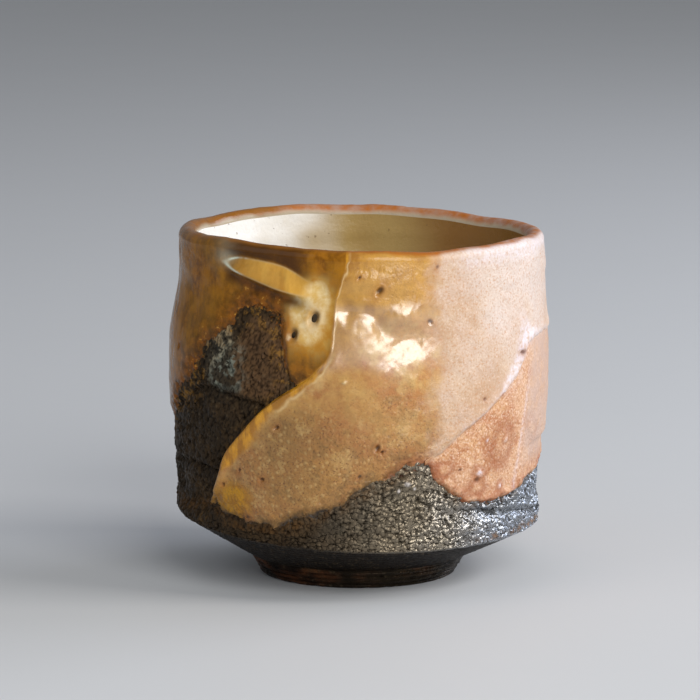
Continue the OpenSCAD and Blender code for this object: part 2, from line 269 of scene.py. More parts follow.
@dataclass(frozen=True)
class WallLines:
    """Lines on the outside of the cup: the edges of the glazes and of the cuts.

    All give a height for an angle, except ridge, which gives an angle for a height.
    """

    # Lower edge of the front and side glazes
    low: SmoothLine = SmoothLine(
        (
            (-130, 18.6), (-95, 13.0), (-70, 13.6), (-53.4, 14.9), (-45, 13.3), (-37, 12.3), (-28, 12.4),
            (-18, 14.0), (-8.6, 16.1), (-2.5, 17.7), (6.5, 20.3), (12.5, 21.9), (20, 23.1), (23.5, 21.2),
            (27, 19.3), (36, 16.7), (44, 16.0), (51, 16.3), (60, 17.3), (68.6, 18.7), (78, 20.0), (95, 21.0),
            (118, 17.2), (140, 15.2), (165, 16.8), (185, 17.2), (203, 19.4), (215, 23.4), (224, 26.8),
            (230, 28.4),
        )
    )  # fmt: skip
    # Where the thick satin glaze ends over the cuts at the lower right
    rib: SmoothLine = SmoothLine(
        (
            (20, 23.9), (22.7, 24.8), (29.9, 27.7), (37.1, 30.2), (44.4, 32.6), (48.9, 34.3), (53.5, 36.2),
            (57.5, 38.2), (60.5, 40.4), (63, 42.0), (67, 42.8), (90, 43.2), (110, 44.6), (140, 42.5),
            (180, 31.0), (215, 23.5), (230, 21.0),
        )
    )  # fmt: skip
    # Lower edge of the brown glaze on the left shoulder
    high: SmoothLine = SmoothLine(
        (
            (-130, 28.4), (-100, 26.4), (-88, 27.6), (-79, 30.4), (-70.6, 33.2), (-60, 37.7), (-54.4, 41.5),
            (-47.5, 44.5), (-41.7, 47.4), (-36.2, 49.7), (-31.5, 49.3), (-27.8, 47.4), (-25.7, 45.1),
            (-24.3, 42.6), (-22.9, 39.8), (-20.8, 37.0), (-10, 36.4),
        )
    )  # fmt: skip
    # Left edge of the front glaze, and above that the thin ridge between it and the shoulder
    ridge: SmoothLine = SmoothLine(
        (
            (12.0, -58.0), (14.5, -54.8), (16.2, -52.5), (18.7, -49.3), (21.2, -46.8), (23.0, -45.6),
            (24.5, -44.3), (26.4, -41.6), (29.3, -36.6), (31.8, -32.4), (34.3, -27.0), (36.0, -22.6),
            (37.3, -18.6), (38.9, -14.2), (40.4, -11.6), (41.8, -9.2), (43.5, -8.0), (46.9, -7.5),
            (51.9, -6.7), (56.9, -4.0), (60.0, -3.0),
        )
    )  # fmt: skip
    # Two ledges that the knife left in the bare cut
    upper_ledge: SmoothLine = SmoothLine(
        ((-130, 27), (-90, 28.6), (-75, 31), (-62, 34.6), (-51, 35.6), (-41.5, 34.4), (-36, 33.9), (-10, 34))
    )
    lower_ledge: SmoothLine = SmoothLine(((-130, 21), (-75, 21.4), (-60, 21.6), (-51, 21.0), (-38, 20.3)))
    # The clay folded under the lip at the left: the valley under the lip and the crest below it
    fold_valley: SmoothLine = SmoothLine(
        ((-50, 57.5), (-40, 57.7), (-33, 57.5), (-26, 57.0), (-20, 55.8), (-14, 54.2))
    )
    fold_crest: SmoothLine = SmoothLine(
        ((-50, 56.6), (-42, 55.6), (-36.7, 54.8), (-31, 53.9), (-21, 52.6), (-14, 52.0))
    )

    def above(self, line: SmoothLine, angle: Array, height: Array) -> Array:
        """Distance from a line round the wall, positive above it: the height over it, tilted by its slope.

        Args:
            line: The line.
            angle: Angles of the places.
            height: Heights of the places.

        Returns:
            Distances in mm, exact near the line.
        """
        slope = line.slope(angle) / ARC
        return (height - line.at(angle)) / np.sqrt(1.0 + slope * slope)

    def left_of_ridge(self, angle: Array, height: Array) -> Array:
        """Distance to the left of the ridge in mm: the arc to it, tilted by the ridge's slope."""
        slope = self.ridge.slope(height) * ARC
        return (self.ridge.at(height) - angle) * ARC / np.sqrt(1.0 + slope * slope)


@dataclass(frozen=True)
class Press:
    """A soft oval dent where a finger pressed the wall. A negative depth is a swelling."""

    angle: float
    height: float
    wide: float
    tall: float
    slant: float
    depth: float

    def shape(self, angle: Array, height: Array) -> Array:
        """Outward moves in mm: minus the depth times a bell along the slant and a bell across it."""
        right, up, slant = (angle - self.angle) * ARC, height - self.height, math.radians(self.slant)
        along = right * math.cos(slant) + up * math.sin(slant)
        across = up * math.cos(slant) - right * math.sin(slant)
        return -self.depth * bell(along / self.wide) * bell(across / self.tall)


@dataclass(frozen=True)
class CupForm:
    """The clay body as it was thrown, pressed by fingers and cut with a knife."""

    seam_h: float
    floor_h: float
    foot_h: float
    foot_top_r: float
    lines: WallLines = field(default_factory=WallLines)
    seam_r: float = 31.3
    belly_r: float = 32.2
    mouth_r: float = 31.3
    belly_h: float = 38.0
    lip_z: float = 58.4
    lip_tilt: float = 0.5
    lip_wave: float = 0.25
    mouth_press: float = 0.3
    mouth_lean: float = 0.5
    neck_press: float = 1.0
    right_neck: float = 0.55
    neck_drop: float = 7.0
    neck_w: float = 6.0
    wall_t: float = 4.4
    lip_t: float = 2.4
    lip_round: float = 1.2
    floor_fillet: float = 9.0
    corner_r: float = 31.1
    corner_h: float = 9.3
    corner_tilt: float = 0.9
    corner_lift: float = 1.0
    foot_r: float = 17.0
    foot_land: float = 3.6
    foot_in_lean: float = 1.2
    foot_edge: float = 0.5
    left_cut: float = 1.35
    left_span: tuple[float, float] = (-95.0, 5.0)
    right_cut: float = 0.7
    # Each flat cut at the right and back: its angles, and how far it reaches from the seam to the rib
    right_spans: tuple[tuple[float, float, float], ...] = (
        (20, 60, 1.0), (60, 115, 0.42), (120, 175, 1.0), (175, 230, 1.0),
    )  # fmt: skip
    cut_fade: float = 7.0
    seam_fade: float = 3.2
    fold_depth: float = 1.0
    fold_top: float = 59.4
    fold_span: tuple[float, float] = (-49.0, -13.0)
    presses: tuple[Press, ...] = (
        Press(0.5, 49.8, 3.2, 1.1, -6.0, 0.55),
        Press(-3.4, 49.6, 1.2, 1.3, 0.0, 0.45),
        Press(1.5, 51.6, 3.0, 0.5, -8.0, -0.12),
        Press(6.4, 47.5, 2.2, 1.1, -50.0, 0.5),
        Press(13.8, 45.3, 4.2, 3.0, -5.0, 1.1),
        Press(14.8, 48.9, 3.0, 1.9, 20.0, -0.75),
        Press(-11.8, 53.6, 2.2, 2.2, 0.0, 0.8),
        Press(-62.0, 47.0, 5.0, 5.0, 30.0, 0.4),
        Press(87.0, 35.0, 9.0, 8.0, 0.0, -0.35),
        Press(150.0, 48.0, 6.0, 3.0, -20.0, 0.7),
        Press(205.0, 44.0, 5.0, 4.0, 15.0, 0.5),
    )

    @classmethod
    def from_frame(cls) -> "CupForm":
        """Takes the seam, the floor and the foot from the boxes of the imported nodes."""
        wall_low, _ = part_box("wall")
        liner_low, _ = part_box("liner_glaze")
        _, foot_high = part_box("foot_ring")
        return cls(
            seam_h=wall_low.z / MM,
            floor_h=liner_low.z / MM,
            foot_h=foot_high.z / MM,
            foot_top_r=foot_high.x / MM,
        )

    def lip_height(self, angle: Array) -> Array:
        """Height where the lip's crown begins: a tilt to the right, three slow waves and a small wobble."""
        turn = np.radians(angle)
        waves = self.lip_wave * np.cos(3.0 * (turn + math.radians(50.0)))
        wobble = 0.1 * np.sin(7.0 * turn + 1.0) + 0.07 * np.sin(13.0 * turn)
        return self.lip_z - self.lip_tilt * np.sin(turn) + waves + wobble

    def corner_height(self, angle: Array) -> Array:
        """Height of the corner above the chamfer: lower on the right by the tilt, lifted at both sides."""
        sideways = np.sin(np.radians(angle))
        return self.corner_h - self.corner_tilt * sideways + self.corner_lift * sideways**2

    def thrown_radius(self, height: Array) -> Array:
        """Round profile: a quarter sine from the seam out to the belly, a quarter cosine in to the mouth."""
        up = np.sin(0.5 * np.pi * (height - self.seam_h) / (self.belly_h - self.seam_h))
        past_belly = np.clip((height - self.belly_h) / (self.lip_z - self.belly_h), 0, 1)
        over = 1.0 - np.cos(0.5 * np.pi * past_belly)
        lower = mix(self.seam_r, self.belly_r, up)
        return np.where(height < self.belly_h, lower, mix(self.belly_r, self.mouth_r, over))

    def pressed(self, angle: Array, height: Array) -> Array:
        """How far fingers moved the wall: a squarish mouth, a lean to the right and a groove under the lip.

        Args:
            angle: Angles of the places.
            height: Heights of the places.

        Returns:
            Outward moves in mm, the same inside the cup and outside.
        """
        turn = np.radians(angle)
        up = np.clip((height - self.seam_h) / (self.lip_z - self.seam_h), 0, 1)
        square = self.mouth_press * up * (np.cos(4.0 * (turn - math.radians(100.0))) - 1.0) / 2.0
        lean = self.mouth_lean * ease((height - self.belly_h) / (self.lip_z - self.belly_h)) * np.sin(turn)
        drop = (self.lip_height(angle) - self.neck_drop - height) / self.neck_w
        groove = ease((1.0 - np.sin(turn)) / 2.0) + self.right_neck * ease(np.sin(turn))
        return square + lean - self.neck_press * groove * bell(drop)

    def facet(self, span: tuple[float, float], angle: Array) -> Array:
        """Share of a flat cut's depth: half a sine across its span of angles, 0 outside it."""
        part = np.clip((angle - span[0]) / (span[1] - span[0]), 0.0, 1.0)
        return np.sin(np.pi * part)

    def cut_depth(self, angle: Array, height: Array) -> Array:
        """Clay taken off by the knife: the stepped cut at the left, and the flat cuts below the rib.

        Args:
            angle: Angles of the places.
            height: Heights of the places.

        Returns:
            Inward depths in mm, fading out at the seam.
        """
        lines = self.lines
        under_upper = ease(0.5 - lines.above(lines.upper_ledge, angle, height) / 0.7)
        under_lower = ease(0.5 - lines.above(lines.lower_ledge, angle, height) / 0.7)
        terraces = 0.42 + 0.33 * under_upper + 0.25 * under_lower
        beside_ridge = ease(0.3 + lines.left_of_ridge(angle, height) / 1.1)
        under_shoulder = 1.0 - ease((height - lines.high.at(angle)) / self.cut_fade)
        left = self.left_cut * self.facet(self.left_span, angle) * terraces * beside_ridge * under_shoulder
        rib = lines.rib.at(angle)
        lean = np.sqrt(1.0 + (lines.rib.slope(angle) / ARC) ** 2)
        flats = []
        for start, end, reach in self.right_spans:
            above = (height - mix(self.seam_h, rib, reach)) / lean
            flats.append(self.facet((start, end), angle) * (1.0 - ease(0.5 + above / 1.4)))
        right = self.right_cut * np.maximum.reduce(flats)
        return (left + right) * ease((height - self.seam_h) / self.seam_fade)

    def fold(self, angle: Array, height: Array) -> Array:
        """The fold under the left lip: in to the valley, out over the crest and back, with softened corners.

        Args:
            angle: Angles of the places.
            height: Heights of the places.

        Returns:
            Outward moves in mm.
        """
        valley = self.lines.fold_valley.at(angle)
        crest = self.lines.fold_crest.at(angle)
        total = np.zeros(np.broadcast(angle, height).shape)
        softening = (-0.22, -0.1, 0.0, 0.1, 0.22)
        for shift in softening:
            place = height + shift
            roof = -(1.0 - np.clip((place - valley) / (self.fold_top - valley), 0, 1))
            slope = mix(0.25, -1.0, np.clip((place - crest) / np.maximum(valley - crest, 0.2), 0, 1))
            under = crest - place
            back = mix(0.25, -0.55, np.clip(under / 1.0, 0, 1)) + 0.55 * ease((under - 1.0) / 6.0)
            total += np.where(place > valley, roof, np.where(place > crest, slope, back))
        start, end = self.fold_span
        window = ease((angle - start) / 6.0) * ease((end - angle) / 9.0)
        return self.fold_depth * window * total / len(softening)

    def outside(self, angle: Array, height: Array) -> Array:
        """Outer radius of the clay: thrown, pressed, cut, folded and dented."""
        wrapped = (angle - FIRST_ANGLE) % 360.0 + FIRST_ANGLE
        round_wall = self.thrown_radius(height) + self.pressed(wrapped, height)
        dents = sum(press.shape(wrapped, height) for press in self.presses)
        return round_wall - self.cut_depth(wrapped, height) + self.fold(wrapped, height) + dents

    def inside(self, angle: Array, height: Array) -> Array:
        """Inner radius of the clay: the outside without the cuts, less a wall that thins towards the lip."""
        up = np.clip((height - self.seam_h) / (self.lip_z - self.seam_h), 0, 1)
        thick = mix(self.wall_t, self.lip_t, up)
        return self.thrown_radius(height) + self.pressed(angle, height) - thick

    def bowl_profile(self, angle: Array, share: Array) -> tuple[Array, Array]:
        """Inside of the clay from the lip, down the wall and round the fillet, to the floor's middle.

        Args:
            angle: Angles of the columns.
            share: Shares of the way, 0 at the lip and 1 at the floor's middle.

        Returns:
            Radius and height at each share and angle.
        """
        top = self.floor_h + self.floor_fillet
        down = mix(self.lip_height(angle), top, np.clip(share / WALL_SHARE, 0, 1))
        turn = self.fillet_turn(share)
        foot_r = self.inside(angle, top) - self.floor_fillet
        corner = foot_r + self.floor_fillet * np.cos(turn)
        height = np.where(share < WALL_SHARE, down, top - self.floor_fillet * np.sin(turn))
        floor = foot_r * (1.0 - np.clip((share - FILLET_SHARE) / (1.0 - FILLET_SHARE), 0, 1))
        past_wall = np.where(share < FILLET_SHARE, corner, floor)
        return np.where(share < WALL_SHARE, self.inside(angle, down), past_wall), height

    def fillet_turn(self, share: Array) -> Array:
        """How far the bowl has turned at a share of the way: from upright to level round the fillet."""
        return 0.5 * np.pi * np.clip((share - WALL_SHARE) / (FILLET_SHARE - WALL_SHARE), 0, 1)


@dataclass(frozen=True)
class Mark:
    """A round pit or bump in the glaze. A pit has a negative rise and a raised rim."""

    angle: float
    height: float
    radius: float
    rise: float

    def distance(self, angle: Array, height: Array) -> Array:
        """Distance from the mark's middle, in its own radii."""
        right, up = (angle - self.angle) * ARC, height - self.height
        lopsided = 1.0 + 0.2 * np.sin(2.0 * np.arctan2(up, right) + self.angle)
        return np.hypot(right, up) / (self.radius * lopsided)

    def shadow(self, angle: Array, height: Array) -> Array:
        """Painted shade in a pit: a dark core on the side away from the light, a little to the right of its
        middle and above it, shaped as a flat-topped bell.
        """
        return bell(self.distance(angle - 0.3 * self.radius / ARC, height - 0.25 * self.radius) ** 2 / 0.7)

    def lit_side(self, angle: Array, height: Array) -> Array:
        """Painted highlight on the lit left wall of a pit: a small bell."""
        return bell(self.distance(angle + 0.75 * self.radius / ARC, height + 0.35 * self.radius) / 0.4)

    def shape(self, angle: Array, height: Array) -> Array:
        """Outward moves in mm: a steep hump or hole, and round a hole a low rim."""
        reach = self.distance(angle, height)
        rim = 0.14 * abs(self.rise) * bell((reach - 1.4) / 0.5) if self.rise < 0.0 else 0.0
        return self.rise * np.exp(-(reach**3)) + rim


@dataclass(frozen=True)
class GlazeLayers:
    """Thickness and surface of the outside glazes, and the masks that their colours follow."""

    form: CupForm
    body_t: float = 0.58
    side_t: float = 0.42
    shoulder_t: float = 0.52
    lip_t: float = 0.35
    roll_t: float = 0.5
    rib_t: float = 0.2
    # Glaze edges that thin out end this far under the clay, so that the grit breaks through them
    sink: float = 0.16
    # Width of the honey-coloured roll along the ridge, by height
    honey_w: SmoothLine = SmoothLine(
        (
            (20, -0.6), (21.4, 0.3), (22.8, 1.9), (24.5, 2.5), (27, 2.4), (30, 2.0), (33, 1.4), (36, 0.8),
            (40, 0.2), (44, -0.4),
        )
    )  # fmt: skip
    marks: tuple[Mark, ...] = (
        Mark(-13.6, 48.6, 1.0, -0.75),
        Mark(-20.0, 45.7, 0.95, -0.75),
        Mark(-25.0, 30.0, 0.4, -0.4),
        Mark(6.2, 53.3, 0.62, -0.55),
        Mark(0.2, 55.6, 0.3, -0.3),
        Mark(5.5, 27.0, 0.5, -0.5),
        Mark(6.9, 26.4, 0.3, -0.4),
        Mark(0.2, 22.2, 0.35, -0.4),
        Mark(21.6, 47.9, 0.45, -0.4),
        Mark(-38.3, 22.1, 0.35, -0.4),
        Mark(-30.2, 20.9, 0.42, -0.4),
        Mark(-44.7, 19.2, 0.35, -0.35),
        Mark(-36.2, 14.1, 0.4, -0.4),
        Mark(32.5, 22.3, 0.3, -0.4),
        Mark(39.3, 20.1, 0.55, -0.45),
        Mark(24.2, 57.0, 0.3, -0.3),
        Mark(58.3, 40.7, 0.6, -0.4),
        Mark(57.2, 39.6, 0.5, 0.16),
        Mark(49.3, 35.0, 0.45, 0.2),
        Mark(-4.1, 38.2, 0.36, 0.22),
        Mark(40.2, 21.4, 0.8, 0.3),
        Mark(39.5, 18.9, 0.9, 0.14),
        Mark(49.1, 18.5, 0.5, 0.25),
        Mark(50.8, 26.5, 0.5, 0.26),
        Mark(43.1, 26.8, 0.35, 0.2),
        Mark(49.6, 25.6, 1.8, 0.3),
        Mark(26.5, 22.8, 0.9, 0.2),
        Mark(66.0, 27.2, 1.3, 0.3),
        Mark(40.5, 34.0, 0.3, -0.3),
        Mark(41.4, 33.3, 0.4, 0.16),
        Mark(35.1, 41.0, 0.4, 0.12),
        Mark(134.0, 38.0, 0.5, -0.45),
        Mark(150.0, 27.0, 0.6, -0.5),
        Mark(171.0, 47.0, 0.45, -0.4),
        Mark(196.0, 36.0, 0.55, -0.45),
        Mark(214.0, 50.0, 0.4, -0.4),
        Mark(-110.0, 45.0, 0.55, -0.5),
        Mark(-88.0, 52.0, 0.4, -0.4),
        Mark(-70.0, 41.0, 0.45, -0.4),
    )

    def film(self, depth: Array, width: float) -> Array:
        """Share of full thickness inside an edge that thins out over the width."""
        return ease(depth / width)

    def sunk(self, depth: Array) -> Array:
        """How far an edge lies under the clay: a little at its line, and well under beyond it."""
        return self.sink * (1.0 - self.film(depth, 1.2)) + 0.6 * (1.0 - self.film(depth + 1.1, 0.9))

    def ragged(self, line: SmoothLine, angle: Array, height: Array, rag: float) -> Array:
        """Distance above a glaze's edge that the grit frayed: the line moved by noise of two sizes."""
        places = around(angle, WALL_R, height)
        fray = noise(places, 2.6, 31, 2) + 0.5 * noise(places, 0.9, 37)
        return self.form.lines.above(line, angle, height) + rag * fray

    def shoulder(self, angle: Array, height: Array) -> Array:
        """Thickness of the shoulder glaze: it thins out downwards, with a low bead above its ragged edge."""
        high = self.ragged(self.form.lines.high, angle, height, 0.8)
        bead = 0.14 * bell((high - 1.6) / 0.9)
        return (self.shoulder_t + bead) * self.film(high + 0.3, 3.2) - self.sunk(high)

    def hair_ridge(self, angle: Array, height: Array) -> Array:
        """The hair-thin ridge where the front glaze ran against the shoulder glaze."""
        across = self.form.lines.left_of_ridge(angle, height)
        return 0.11 * bell(across / 0.24) * ease((height - 38.0) / 4.0)

    def front(self, angle: Array, height: Array) -> Array:
        """Thickness of the front glaze: a thick roll along its slanting left edge, thinning out downwards.

        Args:
            angle: Angles of the places.
            height: Heights of the places.

        Returns:
            Thicknesses in mm.
        """
        lines = self.form.lines
        across = -lines.left_of_ridge(angle, height)
        low = self.ragged(lines.low, angle, height, 0.8)
        roll = self.roll_t * bell((across - 0.9) / 0.9) * (1.0 - ease((height - 38.0) / 7.0))
        film = self.film(low + 0.3, 5.0)
        full = (self.body_t + roll) * film - self.sunk(low)
        return mix(self.shoulder(angle, height), full, quarter_round(across, 0.6))

    def side(self, angle: Array, height: Array) -> Array:
        """Thickness of the glaze in the lower right cuts: a short quarter-round edge at the bottom."""
        low = self.ragged(self.form.lines.low, angle, height, 0.6)
        bead = 0.16 * bell((low - 0.8) / 0.6) * (1.0 + noise(around(angle, WALL_R, height), 1.4, 71))
        return (self.side_t + bead) * quarter_round(low, 0.5) - self.sunk(low)

    def satin(self, angle: Array, height: Array, tuck: float = 0.1) -> Array:
        """Thickness of the satin glaze: it ends over the side glaze in a rounded rib.

        Args:
            angle: Angles of the places.
            height: Heights of the places.
            tuck: How far the sheet dips under the side glaze beyond the rib.

        Returns:
            Thicknesses in mm.
        """
        lines = self.form.lines
        rib = self.ragged(lines.rib, angle, height, 0.3)
        low = self.ragged(lines.low, angle, height, 0.55)
        from_front = ease((angle - 20.0) / 9.0)
        body = self.body_t * mix(self.film(low + 0.3, 5.0), 1.0, from_front)
        full = body + self.rib_t * from_front * bell((rib - 0.8) / 0.8)
        tucked = self.side(angle, height) - tuck * (1.0 - self.film(rib + 0.3, 0.3))
        return mix(tucked, full, quarter_round(rib, 0.7))

    def back(self, angle: Array, height: Array) -> Array:
        """Thickness of the back glaze: the satin glaze carried on to a rounded edge beside the bare cut."""
        edge = (LAST_ANGLE - angle) * ARC
        beyond = self.shoulder(angle - 360.0, height)
        return mix(beyond, self.satin(angle, height, 0.0), quarter_round(edge, 0.7))

    def surface(self, angle: Array, height: Array, thick: Array) -> Array:
        """Radius of the glaze's face: clay, glaze, slow waves of the melt, the hair ridge, and the marks.

        Args:
            angle: Angles of the places.
            height: Heights of the places.
            thick: Thickness of the glaze there.

        Returns:
            Radii in mm.
        """
        radius = self.form.outside(angle, height)
        places = around(angle, radius, height)
        lip_gap = self.form.lip_height(angle) - height
        near_lip = 1.0 - ease(lip_gap / 3.8)
        thick = mix(thick, self.lip_t, near_lip)
        filled = np.clip(thick / self.body_t, 0.0, 1.0) * (1.0 - near_lip)
        waves = 0.12 * noise(places, 7.0, 11, 2) + 0.05 * noise(places, 1.9, 17, 2)
        rippled = 0.05 * noise(places, 1.1, 19, 2) + 0.03 * noise(places, 0.7, 21)
        neck = 0.22 * noise(places, 4.0, 25) * ease((height - 52.0) / 2.5)
        waves = waves + rippled * ease((angle - 2.0) / 12.0) + neck
        marked = sum(mark.shape(angle, height) for mark in self.marks)
        gritty = 0.55 * torn_clay(places) * (1.0 - ease(filled)) * (1.0 - near_lip)
        return radius + thick + gritty + filled * (waves + marked + self.hair_ridge(angle, height))

    def ridge_masks(self, angle: Array, height: Array, fine: Array) -> Fields:
        """Masks along the front's left edge: the honey-coloured roll, and beside it higher up a painted
        highlight line in cream.

        Args:
            angle: Angles of the places.
            height: Heights of the places.
            fine: Fine noise that frays them.

        Returns:
            One array per mask.
        """
        across = -self.form.lines.left_of_ridge(angle, height)
        edge = self.honey_w.at(height) + 0.35 + 0.35 * fine
        fade_w = mix(1.6, 0.5, ease((height - 30.0) / 6.0))
        line_w = mix(0.24, 0.11, ease((height - 38.0) / 6.0))
        # The cream line is a painted highlight along the roll
        line = bell((across - np.maximum(edge, -0.2) - 0.25) / line_w)
        line = line * mix(0.1, 1.0, ease((height - 30.0) / 5.0))
        return {"honey": ease((edge - across) / fade_w + 0.5), "cream": line * ease(0.75 + 0.9 * fine)}

    def fold_masks(self, angle: Array, height: Array, fine: Array) -> Fields:
        """Masks of the fold under the lip: painted reflection on the golden tongue, painted highlights along
        its rim and loop, and painted shade round it.

        The tongue is an oval between the valley and the crest, closed at its left end.

        Args:
            angle: Angles of the places.
            height: Heights of the places.
            fine: Fine noise that breaks the loop.

        Returns:
            One array per mask.
        """
        lines = self.form.lines
        start, end = self.form.fold_span
        folded = ease((angle - start) / 5.0) * ease((end - angle) / 8.0)
        valley, crest = lines.fold_valley.at(angle), lines.fold_crest.at(angle)
        half = np.maximum((valley - crest) / 2.0, 0.2)
        past_end = np.minimum(angle + 41.0, 0.0) * ARC / 3.0
        tongue = half * (1.0 - np.hypot(past_end, (height - crest - half) / half))
        # Painted highlights along the rim of the tongue and in the loop round its left end
        rim_glints = bell(tongue / 0.14)
        # Painted shade under the lip and under the crest
        under_lip = ease((height - valley) / 0.7) * ease((59.6 - height) / 0.7)
        fold_shade = under_lip + bell((crest - 1.4 - height) / 1.1)
        return {
            # Painted reflection: the tongue lighter gold, more so to the right
            "tongue_reflection": ease(0.5 + tongue / 0.45) * folded * np.clip(0.25 + (angle + 43.0) / 18.0, 0.25, 1.0),
            "rim": 0.75 * rim_glints * folded * ease((angle + 41.0) / 6.0),
            "loop": rim_glints * ease((-37.0 - angle) / 4.0) * ease(0.75 + 0.8 * fine),
            "fold_shade": np.clip(fold_shade, 0, 1) * folded,
        }

    def mark_masks(self, angle: Array, height: Array) -> Fields:
        """Masks of the marks: painted shade in the pits, burnt halos round them, pale bumps that are partly
        painted highlights, painted highlights on the lit sides of pits, and rings round the bumps.

        Args:
            angle: Angles of the places.
            height: Heights of the places.

        Returns:
            One array per mask.
        """
        pits = [mark for mark in self.marks if mark.rise < 0.0]
        bumps = [mark for mark in self.marks if mark.rise > 0.0]
        # The pale small bumps are partly pale chips in the glaze, partly painted highlights
        small_bumps = [mark for mark in bumps if mark.rise >= 0.2 and mark.radius < 0.85]
        pale = [bell(mark.distance(angle, height) / 0.6) for mark in small_bumps]
        # Painted highlights on the lit sides of the larger pits, added to the pale mask
        pale += [mark.lit_side(angle, height) for mark in pits if mark.rise < -0.45]
        return {
            # Painted shade in the pits, on the side away from the light
            "pit_shade": np.maximum.reduce([mark.shadow(angle, height) for mark in pits]),
            "halo": np.maximum.reduce([bell(mark.distance(angle, height) / 2.2) for mark in pits]),
            "pale": np.maximum.reduce(pale),
            "knobs": np.maximum.reduce([bell((mark.distance(angle, height) - 1.5) / 0.8) for mark in bumps]),
        }

    def frost_and_sheen(self, angle: Array, rib: Array, fine: Array) -> Array:
        """Pale frost along the rib, partly a painted highlight, widest where the rib climbs steeply at the
        right, and gone at the back.

        Args:
            angle: Angles of the places.
            rib: Distances above the rib.
            fine: Fine noise that varies its width.

        Returns:
            Shares from 0 to 1.
        """
        width = 0.45 + 1.9 * bell((angle - 58.0) / 7.0) + 0.3 * fine
        along = ease((angle - 24.0) / 14.0) * (1.0 - ease((angle - 95.0) / 30.0))
        along = along * (1.0 - 0.6 * ease((angle - 62.0) / 12.0))
        along = along * mix(0.35, 1.0, ease((angle - 40.0) / 13.0))
        return bell((rib - 0.9 * width) / np.maximum(width, 0.3)) * along

    def masks(self, angle: Array, height: Array) -> Fields:
        """Masks from 0 to 1 that the glaze colours follow, the same on every panel so that no seam shows.

        Args:
            angle: Angles of the places.
            height: Heights of the places.

        Returns:
            One array per mask.
        """
        lines = self.form.lines
        places = around(angle, WALL_R, height)
        soft, fine = noise(places, 6.0, 23, 2), noise(places, 1.6, 29, 2)
        across = -lines.left_of_ridge(angle, height)
        low = self.ragged(lines.low, angle, height, 0.55)
        frayed = low + 0.5 * fine
        # The shoulder's edge is read from the left of the front also where the back meets it
        high = self.ragged(lines.high, np.where(angle > 150.0, angle - 360.0, angle), height, 0.8)
        rib = self.ragged(lines.rib, angle, height, 0.3)
        right = ease((angle - 18.6 + 2.5 * soft + 2.2 * fine) / 9.0)
        below_rib = ease(0.5 - rib / 0.6) * ease((angle - 19.5) / 3.0)
        left = ease(0.5 - across / 0.5) * (1.0 - ease((angle - 60.0) / 20.0))
        left = np.maximum(left, ease((angle - 196.0 + 9.0 * soft) / 22.0) * ease(0.5 + rib / 8.0))
        on_front = (1.0 - right) * ease(across / 0.3 + 1.0)
        between = (1.0 - right) * (1.0 - left)
        wet_span = ease((height - 38.5 + 1.5 * soft) / 3.0) * ease((51.6 - height) / 1.6)
        olive_spot = np.hypot((angle + 23.0) * ARC / 6.6, (height - 26.0) / 5.6)
        sun_spot = np.hypot((angle + 15.0) * ARC / 5.5, (height - 49.0) / 7.5)
        tip = ease((-34.0 - angle + 4.0 * soft) / 9.0) * ease((20.5 - height + 1.5 * soft) / 4.0)
        from_crest = (angle - 59.3 - 0.4 * (height - 27.5)) * ARC
        by_crest = 0.35 * bell(from_crest / 0.45) * below_rib * ease((38.5 - height) / 4.0)
        chalk = ease((from_crest + 1.5 + 1.5 * soft) / 3.0) * ease((height - 19.0 + 3.0 * soft) / 8.0)
        lip_gap = self.form.lip_height(angle) - height
        # Painted sheen along the lip at the right
        by_lip = ease((2.2 - lip_gap + 0.8 * soft) / 2.2) * ease((angle - 20.0) / 25.0)
        by_lip = by_lip * (1.0 - ease((angle - 125.0) / 40.0))
        thin_left, thin_right = 1.0 - ease((frayed - 0.1) / 2.5), 0.7 - 0.7 * ease(frayed + 0.2)
        rust = bell(np.maximum(low, 0.0) / 2.2) * ease((angle - 4.0) / 10.0) * ease((212.0 - angle) / 20.0)
        edge = self.ridge_masks(angle, height, fine)
        fold = self.fold_masks(angle, height, fine)
        spots = self.mark_masks(angle, height)
        # Pale frost and painted light together: the rib's frost, the crest line, the painted sheen by the lip,
        # and the pale bumps with the painted highlights of the pits
        frost_and_highlights = 0.8 * self.frost_and_sheen(angle, rib, fine) + by_crest + 0.5 * by_lip + 1.1 * spots.pop("pale")
        return {
            "satin": right,
            "below_rib": below_rib,
            "shoulder": left,
            "honey": edge["honey"] * on_front,
            "cream": np.clip(edge["cream"] * on_front + fold.pop("rim"), 0, 1),
            "olive": ease((1.5 - olive_spot + 0.35 * soft) / 1.2) * ease((across - 1.0) / 1.5),
            "amber": ease((height - 42.0 - 0.05 * angle + 3.0 * soft) / 6.0) * between,
            "wet": wet_span * between,
            "tip": tip * on_front,
            "glow": ease((angle + 14.0 + 6.0 * soft) / 32.0),
            "grainy": ease((40.0 - height + 4.0 * soft) / 14.0) * ease((across - 1.0) / 3.0),
            "bloom": bell(np.hypot((angle + 47.0) * ARC / 2.4, (height - 57.8) / 1.5)),
            "sun": ease((1.3 - sun_spot + 0.3 * soft) / 0.8),
            # Painted sheen: the satin paler towards its upper right
            "upper_right_sheen": ease((angle - 26.0 + 5.0 * soft) / 30.0) * ease((height - 34.0 + 6.0 * soft) / 20.0),
            "ripple": ease((angle - 1.0 + 4.0 * soft) / 16.0),
            "chalk": chalk * below_rib,
            "scorch": bell(high / 3.6) * left,
            "thin": mix(thin_left, thin_right, ease((angle - 14.0) / 8.0)),
            "rust": rust,
            "frost_and_sheen": np.clip(frost_and_highlights, 0, 1),
            **fold,
            **spots,
        }


@dataclass
class Shell:
    """A closed mesh before it is made: points in mm, faces, and one number per point for each mask."""

    points: Array
    quads: Array
    triangles: Array
    masks: Fields


